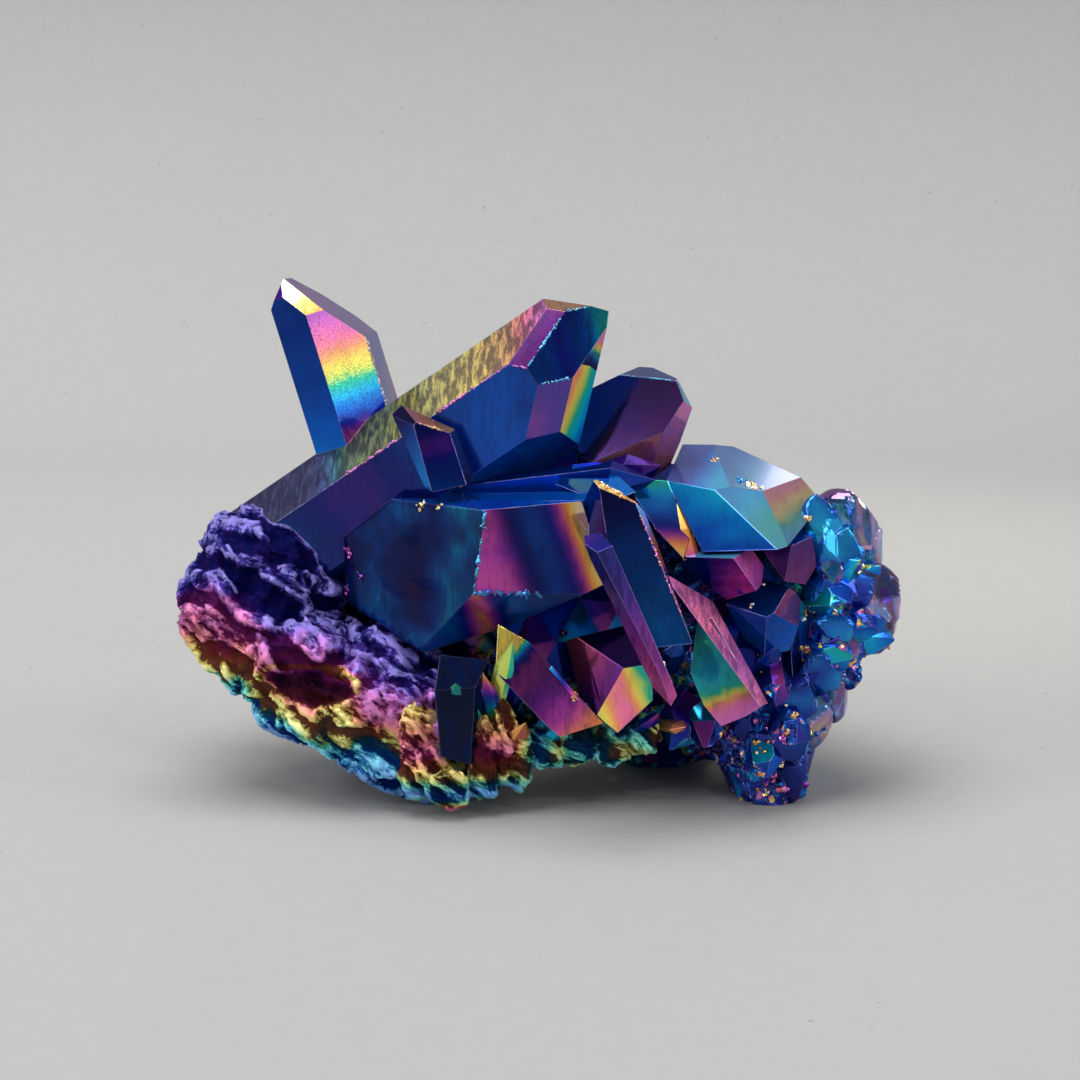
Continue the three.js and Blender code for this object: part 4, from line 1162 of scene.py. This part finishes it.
def clear_quartz(name):
    """Clear quartz under a very thin film: glass, aqua in its depth, rainbow on its faces."""
    start, end = new_material(name)
    spot = start.node("ShaderNodeTexCoord", output=3)
    drift = noise_on(start, spot, 190.0, 2.0, 0.5, 0.8)
    tints = [
        (0.34, (0.45, 0.75, 1.0)), (0.43, (0.05, 0.50, 0.95)), (0.49, (0.60, 0.90, 1.0)),
        (0.56, (0.10, 0.35, 0.95)), (0.63, (0.90, 0.50, 0.80)), (0.72, (0.98, 0.85, 0.50)),
    ]
    tint = start.node("ShaderNodeValToRGB", {"stops": tints}, {"Fac": drift})
    grain = noise_on(start, spot, 900.0, 3.0, 0.6)
    waviness = {"Strength": 0.2, "Distance": 0.0001, "Height": grain}
    relief = start.node("ShaderNodeBump", {}, waviness)
    shader = start.node(
        "ShaderNodeBsdfPrincipled",
        {},
        {
            "Base Color": tint,
            "Metallic": drift.between(0.48, 0.56) * 0.6,
            "Roughness": 0.03,
            "IOR": 1.54,
            "Transmission Weight": 1.0,
            "Thin Film Thickness": 420.0,
            "Thin Film IOR": 2.1,
            "Normal": relief,
        },
    )
    depth = {"Color": (0.08, 0.60, 0.95, 1), "Density": 240.0}
    return end(shader, start.node("ShaderNodeVolumeAbsorption", {}, depth))


clear_lumps.data.materials.append(clear_quartz("clear_quartz"))
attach(clear_lumps, "root")


# ---------------------------------------------------------------------------------------------
# Glazed lumps: the same kind of quartz nugget under more film, so it can't be seen through. They
# lie further in and down to the right foot: aqua and azure above, darker blue below, from the film
# and from painted shade.
glazed_lumps = nuggets(
    "glazed_lumps",
    [
        ((34.6, -7.0, 33.0), (2.4, 2.6, 3.6)), ((35.0, -9.0, 30.2), (1.9, 1.8, 3.0)),
        ((36.8, -8.2, 30.4), (2.6, 2.4, 3.0)), ((37.6, -8.8, 22.6), (3.4, 2.2, 2.2)),
        ((36.8, -8.6, 25.8), (3.4, 2.6, 2.6)), ((38.6, -7.8, 26.2), (2.8, 2.2, 2.4)),
        ((36.0, -10.2, 21.6), (2.6, 2.0, 1.9)), ((39.4, -7.0, 21.4), (2.8, 2.2, 2.4)),
        ((34.4, -10.6, 16.4), (2.4, 2.0, 3.4)), ((31.6, -11.6, 13.6), (2.4, 2.2, 3.2)),
        ((28.4, -12.4, 14.0), (2.0, 2.0, 3.0)), ((30.6, -13.8, 8.4), (2.3, 1.9, 3.4)),
        ((28.2, -13.2, 7.4), (2.2, 1.9, 3.4)), ((30.4, -12.2, 4.0), (2.3, 2.0, 3.4)),
        ((27.8, -12.0, 4.6), (2.0, 1.9, 3.2)), ((26.2, -11.6, 9.6), (2.0, 1.9, 3.0)),
    ],
    seed=520, rings=22, around=32, planes=11, sharp=60, limit=0.78,
)
spots, used = corners_of(glazed_lumps)
z = spots[:, 2] / MM
tone = np.interp(z, [2, 8, 14, 22, 36], [0.34, 0.37, 0.42, 0.46, 0.45])
tone += np.interp(z, [8, 20], [0.10, 0.22]) * (soft_noise(spots / (2.6 * MM), 96) - 0.5)
# Painted light, less of it lower down: painted shade towards the foot.
level = np.interp(z, [0, 8, 16, 24], [0.5, 0.7, 0.75, 0.8])
dress(
    glazed_lumps,
    film=tone[used],
    bright=level[used],
    grit=0.25,
    milky=0.1,
    worn=0.35,
    soft=0.3,
)
glazed_lumps.data.materials.append(coating)
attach(glazed_lumps, "root")


# ---------------------------------------------------------------------------------------------
# Druzy: hundreds of tiny six-sided quartz points that sparkle on the right foot, over the glassy
# end and in the hollows between the crystals, each with its own thickness of film. They grow out
# of the rock, leaning a little up and forward.
dice = np.random.default_rng(77)
normal, spread = normals_and_areas(points, triangles)
centre = points[triangles].mean(axis=1)
x, y, z = (centre / MM).T
patchy = np.clip(4 * (soft_noise(centre / (3.2 * MM), 71) - 0.42), 0, 1)
# How thickly each part is set: the hollows in front, the far side, the right foot, the glassy end.
wanted = np.zeros(len(triangles))
wanted[stone & (x > -8) & (x < 22) & (y < -2) & (normal[:, 2] > -0.3)] = 0.3
wanted[stone & (x > 0) & (y > -2)] = 0.15
wanted[stone & (x > 22) & (z < 24) & (normal[:, 2] > -0.5)] = 0.5
wanted[(x > 33) & (z < 38) & (y < 6)] = 0.02
chance = wanted * patchy * spread
count = 700
chosen = dice.choice(len(triangles), size=count, p=chance / chance.sum())
way = unit(normal[chosen] + 0.45 * dice.normal(size=(count, 3)) + (0, -0.2, 0.3))
across = (0.4 + 1.1 * dice.random(count) ** 3) * MM
length = across * dice.uniform(1.0, 1.7, count)
corners, faces = quartz_points(
    root=centre[chosen] - way * (0.3 * length)[:, None],
    way=way,
    side=dice.normal(size=way.shape),
    across=across,
    flat=dice.uniform(0.7, 1.0, count),
    length=length,
    shoulder=dice.uniform(0.5, 0.75, count),
)
druzy = mesh_object("druzy", np.clip(corners, low, high), faces, coating)
gold, rose, violet, navy, azure = 0.06, 0.85, 0.25, 0.37, 0.46
own = dice.choice([gold, rose, violet, navy, azure], count, p=[0.13, 0.13, 0.16, 0.34, 0.24])
level = dice.uniform(0.4, 1.2, count)
dress(
    druzy,
    film=point_values(own, own, dice, 0.03),
    bright=point_values(level, level, dice, 0.2),
    soft=0.3,
)
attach(druzy, "root")


# ---------------------------------------------------------------------------------------------
# Chipped rims: where two faces of a large crystal meet, the edge has splintered into a row of
# minute chips of quartz under the same film, pale and bright as a painted highlight along the edge.
# They lie along the edge and half in it.
def shared_edge(first, second):
    """The two ends of the edge between the facets at two places (mm)."""
    here, there = (body_triangles[facet == facet_at(*spot)] for spot in (first, second))
    both = body_points[np.intersect1d(here, there)]
    gap = np.linalg.norm(both[:, None] - both[None], axis=2)
    i, j = np.unravel_index(gap.argmax(), gap.shape)
    return both[i], both[j]


# A place on each of the two faces, from where to where along their edge, chip size (mm), film.
rims = [
    ((-20, 0, 45.5), (-19, -5.3, 39.5), 0.30, 1.00, 0.34, 0.88),
    ((-24, 3.5, 51.5), (-19.5, 9.5, 50), 0.05, 0.95, 0.26, 0.0),
    ((4, -4.3, 56), (-0.2, -5.5, 56), 0.05, 0.95, 0.28, 0.55),
    ((4, -4.3, 56), (1.2, -7.2, 47.8), 0.05, 0.95, 0.26, 0.56),
    ((4, -4.3, 56), (5, -1.7, 60), 0.05, 0.95, 0.26, 0.60),
    ((-0.2, -5.5, 56), (-19, -5.3, 39.5), 0.02, 0.66, 0.40, 0.87),
    ((-16.2, -10.2, 29.2), (-0.2, -16.5, 33.7), 0.02, 0.98, 0.46, 0.54),
    ((-3, -15, 24.5), (-0.2, -16.5, 33.7), 0.35, 0.99, 0.60, 0.50),
    ((11.2, -21.2, 31.2), (13.7, -18.2, 34), 0.10, 0.90, 0.26, 0.86),
    ((12.7, -2, 45), (14, 3.2, 50.5), 0.10, 0.95, 0.22, 0.56),
    ((-13, -8, 46.7), (-12.2, -11.7, 43), 0.20, 0.95, 0.24, 0.12),
]
dice = np.random.default_rng(31)
roots, ways, sizes, films = [], [], [], []
for first, second, start_at, end_at, size, tone in rims:
    one, other = sorted(shared_edge(first, second), key=lambda place: place[2])
    spacing = 0.8 * size * MM
    many = int(np.linalg.norm(other - one) * (end_at - start_at) / spacing)
    along = dice.uniform(start_at, end_at, many)[:, None]
    roots.append(one + (other - one) * along)
    ways.append(unit(other - one) + 0.45 * dice.normal(size=(many, 3)))
    sizes.append(np.full(many, size))
    films.append(np.full(many, tone))
root, way = np.concatenate(roots), unit(np.concatenate(ways))
size, own = np.concatenate(sizes) * MM, np.concatenate(films)
count = len(root)
size *= dice.uniform(0.5, 1.2, count)
corners, faces = quartz_points(
    root=root - way * size[:, None],
    way=way,
    side=dice.normal(size=way.shape),
    across=size,
    flat=dice.uniform(0.6, 1.0, count),
    length=size * 2.2,
    shoulder=dice.uniform(0.5, 0.75, count),
)
rim_chips = mesh_object("rim_chips", np.clip(corners, low, high), faces, coating)
# Painted light on the chips, for the highlight along the edge.
level = dice.uniform(0.5, 1.4, count)
own = own + 0.03 * dice.normal(size=count)
dress(
    rim_chips,
    film=point_values(own, own, dice, 0.02),
    bright=point_values(level, level, dice, 0.2),
    milky=0.25,
    soft=0.3,
)
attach(rim_chips, "root")


# ---------------------------------------------------------------------------------------------
# Sparkle: small nests of splinters of the same quartz, in gold, rose, ice and violet, painted
# bright as painted glints on faces and edges. Each splinter stands on the nearest face of the body,
# rooted in it.
gold, rose, ice, violet, aqua, lime = 0.05, 0.86, 0.01, 0.25, 0.54, 0.68
# Middle (mm), spread (mm), how many, size (mm), film.
nests = [
    ((22.3, 2.5, 40.0), 0.5, 7, 0.6, ice), ((25.1, -4.6, 38.8), 0.7, 7, 0.4, 0.48),
    ((26.6, -7.1, 38.3), 0.6, 8, 0.5, gold), ((26.0, -6.2, 38.4), 0.6, 8, 0.5, ice),
    ((32.8, -9.1, 35.0), 0.5, 7, 0.6, gold), ((33.6, -8.3, 33.6), 0.7, 8, 0.7, ice),
    ((36.2, -6.5, 35.6), 1.2, 12, 0.5, aqua), ((36.9, -5.8, 33.4), 0.8, 9, 0.5, ice),
    ((35.6, -9.9, 28.9), 0.5, 6, 0.8, gold), ((34.3, -8.3, 28.6), 0.6, 7, 0.6, rose),
    ((39.3, -9.4, 28.8), 0.5, 5, 0.6, ice), ((42.4, -4.6, 25.2), 0.5, 5, 0.5, ice),
    ((40.1, -7.0, 25.3), 1.1, 10, 0.7, 0.42), ((41.9, -5.5, 22.4), 0.7, 9, 0.6, aqua),
    ((42.6, -5.5, 21.0), 0.4, 4, 0.5, rose), ((32.8, -9.8, 23.0), 0.9, 10, 0.6, ice),
    ((35.9, -13.1, 24.2), 0.5, 5, 0.5, ice), ((32.4, -10.8, 18.9), 0.8, 9, 0.7, gold),
    ((33.6, -10.8, 17.0), 0.6, 6, 0.6, gold), ((34.2, -11.4, 19.7), 0.5, 5, 0.5, lime),
    ((27.7, -12.0, 17.9), 0.9, 12, 0.6, gold), ((28.9, -11.6, 18.1), 0.7, 8, 0.6, rose),
    ((27.2, -13.3, 17.2), 0.5, 5, 0.6, gold), ((30.2, -13.1, 12.7), 0.8, 9, 0.8, gold),
    ((31.0, -15.1, 11.8), 0.5, 6, 0.7, gold), ((27.6, -13.4, 9.8), 0.6, 7, 0.7, rose),
    ((30.0, -15.6, 9.3), 0.8, 9, 0.9, rose), ((25.0, -12.3, 10.7), 0.3, 4, 0.6, ice),
    ((27.0, -14.5, 7.6), 1.0, 9, 0.6, gold), ((30.0, -13.8, 2.5), 0.7, 7, 0.8, rose),
    ((28.0, -13.7, 1.9), 0.6, 6, 0.6, gold), ((29.6, -14.4, 6.0), 1.0, 9, 0.7, gold),
    ((28.6, -14.2, 3.6), 0.9, 8, 0.7, rose), ((31.4, -12.6, 15.0), 0.8, 8, 0.7, rose),
    ((33.1, -12.2, 8.5), 0.5, 5, 0.5, lime), ((36.1, -12.2, 17.3), 0.5, 6, 0.6, rose),
    ((39.6, -7.5, 15.7), 0.5, 5, 0.7, aqua), ((14.4, -26.8, 21.4), 0.3, 4, 0.5, gold),
    ((17.2, -9.0, 18.4), 0.7, 8, 0.7, 0.46), ((22.2, -9.0, 23.4), 0.4, 5, 0.6, rose),
    ((25.8, -14.1, 25.3), 0.35, 4, 0.6, ice), ((27.4, -10.9, 27.4), 0.4, 4, 0.5, ice),
    ((4.5, -17.0, 14.9), 0.4, 5, 0.5, gold), ((3.6, -8.4, 20.6), 0.5, 5, 0.8, rose),
    ((-8.5, -7.3, 38.1), 1.2, 16, 0.35, 0.12), ((-23.4, -4.9, 30.4), 0.5, 7, 0.45, violet),
    ((-23.0, -5.3, 29.4), 0.4, 6, 0.4, violet), ((-23.5, -5.3, 25.4), 0.4, 6, 0.4, violet),
    ((-23.6, -5.2, 24.6), 0.3, 4, 0.45, violet), ((-21.5, -6.6, 27.2), 0.6, 5, 0.35, violet),
    ((-13.8, -11.6, 37.1), 0.6, 7, 0.5, ice), ((-11.8, -13.0, 37.1), 0.4, 4, 0.4, ice),
    ((8.9, -17.2, 39.9), 1.1, 22, 0.4, gold), ((7.9, -16.8, 40.3), 0.7, 10, 0.4, ice),
]
middle, loose, many, across, tone = zip(*nests)
many = np.array(many)
dice = np.random.default_rng(8)
count = many.sum()
middle = np.repeat(middle, many, axis=0)
middle = middle + dice.normal(size=(count, 3)) * np.repeat(loose, many)[:, None] * 0.6
found = [tree.find_nearest(spot) for spot in (middle * MM).tolist()]
root = np.array([hit[0] for hit in found])
way = unit(np.array([hit[1] for hit in found]) + 0.35 * dice.normal(size=(count, 3)))
size = np.repeat(across, many) * dice.uniform(0.6, 1.4, count) * MM
corners, faces = quartz_points(
    root=root - way * size[:, None] * 0.3,
    way=way,
    side=dice.normal(size=way.shape),
    across=size,
    flat=dice.uniform(0.6, 1.0, count),
    length=size * 0.9,
    shoulder=dice.uniform(0.4, 0.7, count),
)
sparkle = mesh_object("sparkle", np.clip(corners, low, high), faces, coating)
own = np.repeat(tone, many) + 0.03 * dice.normal(size=count)
# Painted light on the splinters, for the glints.
level = dice.uniform(0.7, 1.3, count)
dress(
    sparkle,
    film=point_values(own, own, dice, 0.02),
    bright=point_values(level, level, dice, 0.2),
    grit=0.3,
)
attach(sparkle, "root")


# ---------------------------------------------------------------------------------------------
# The finished object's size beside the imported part's.
sizes = {"cad": cad_box, "shown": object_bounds()}
{key: [list(corner) for corner in box] for key, box in sizes.items()}
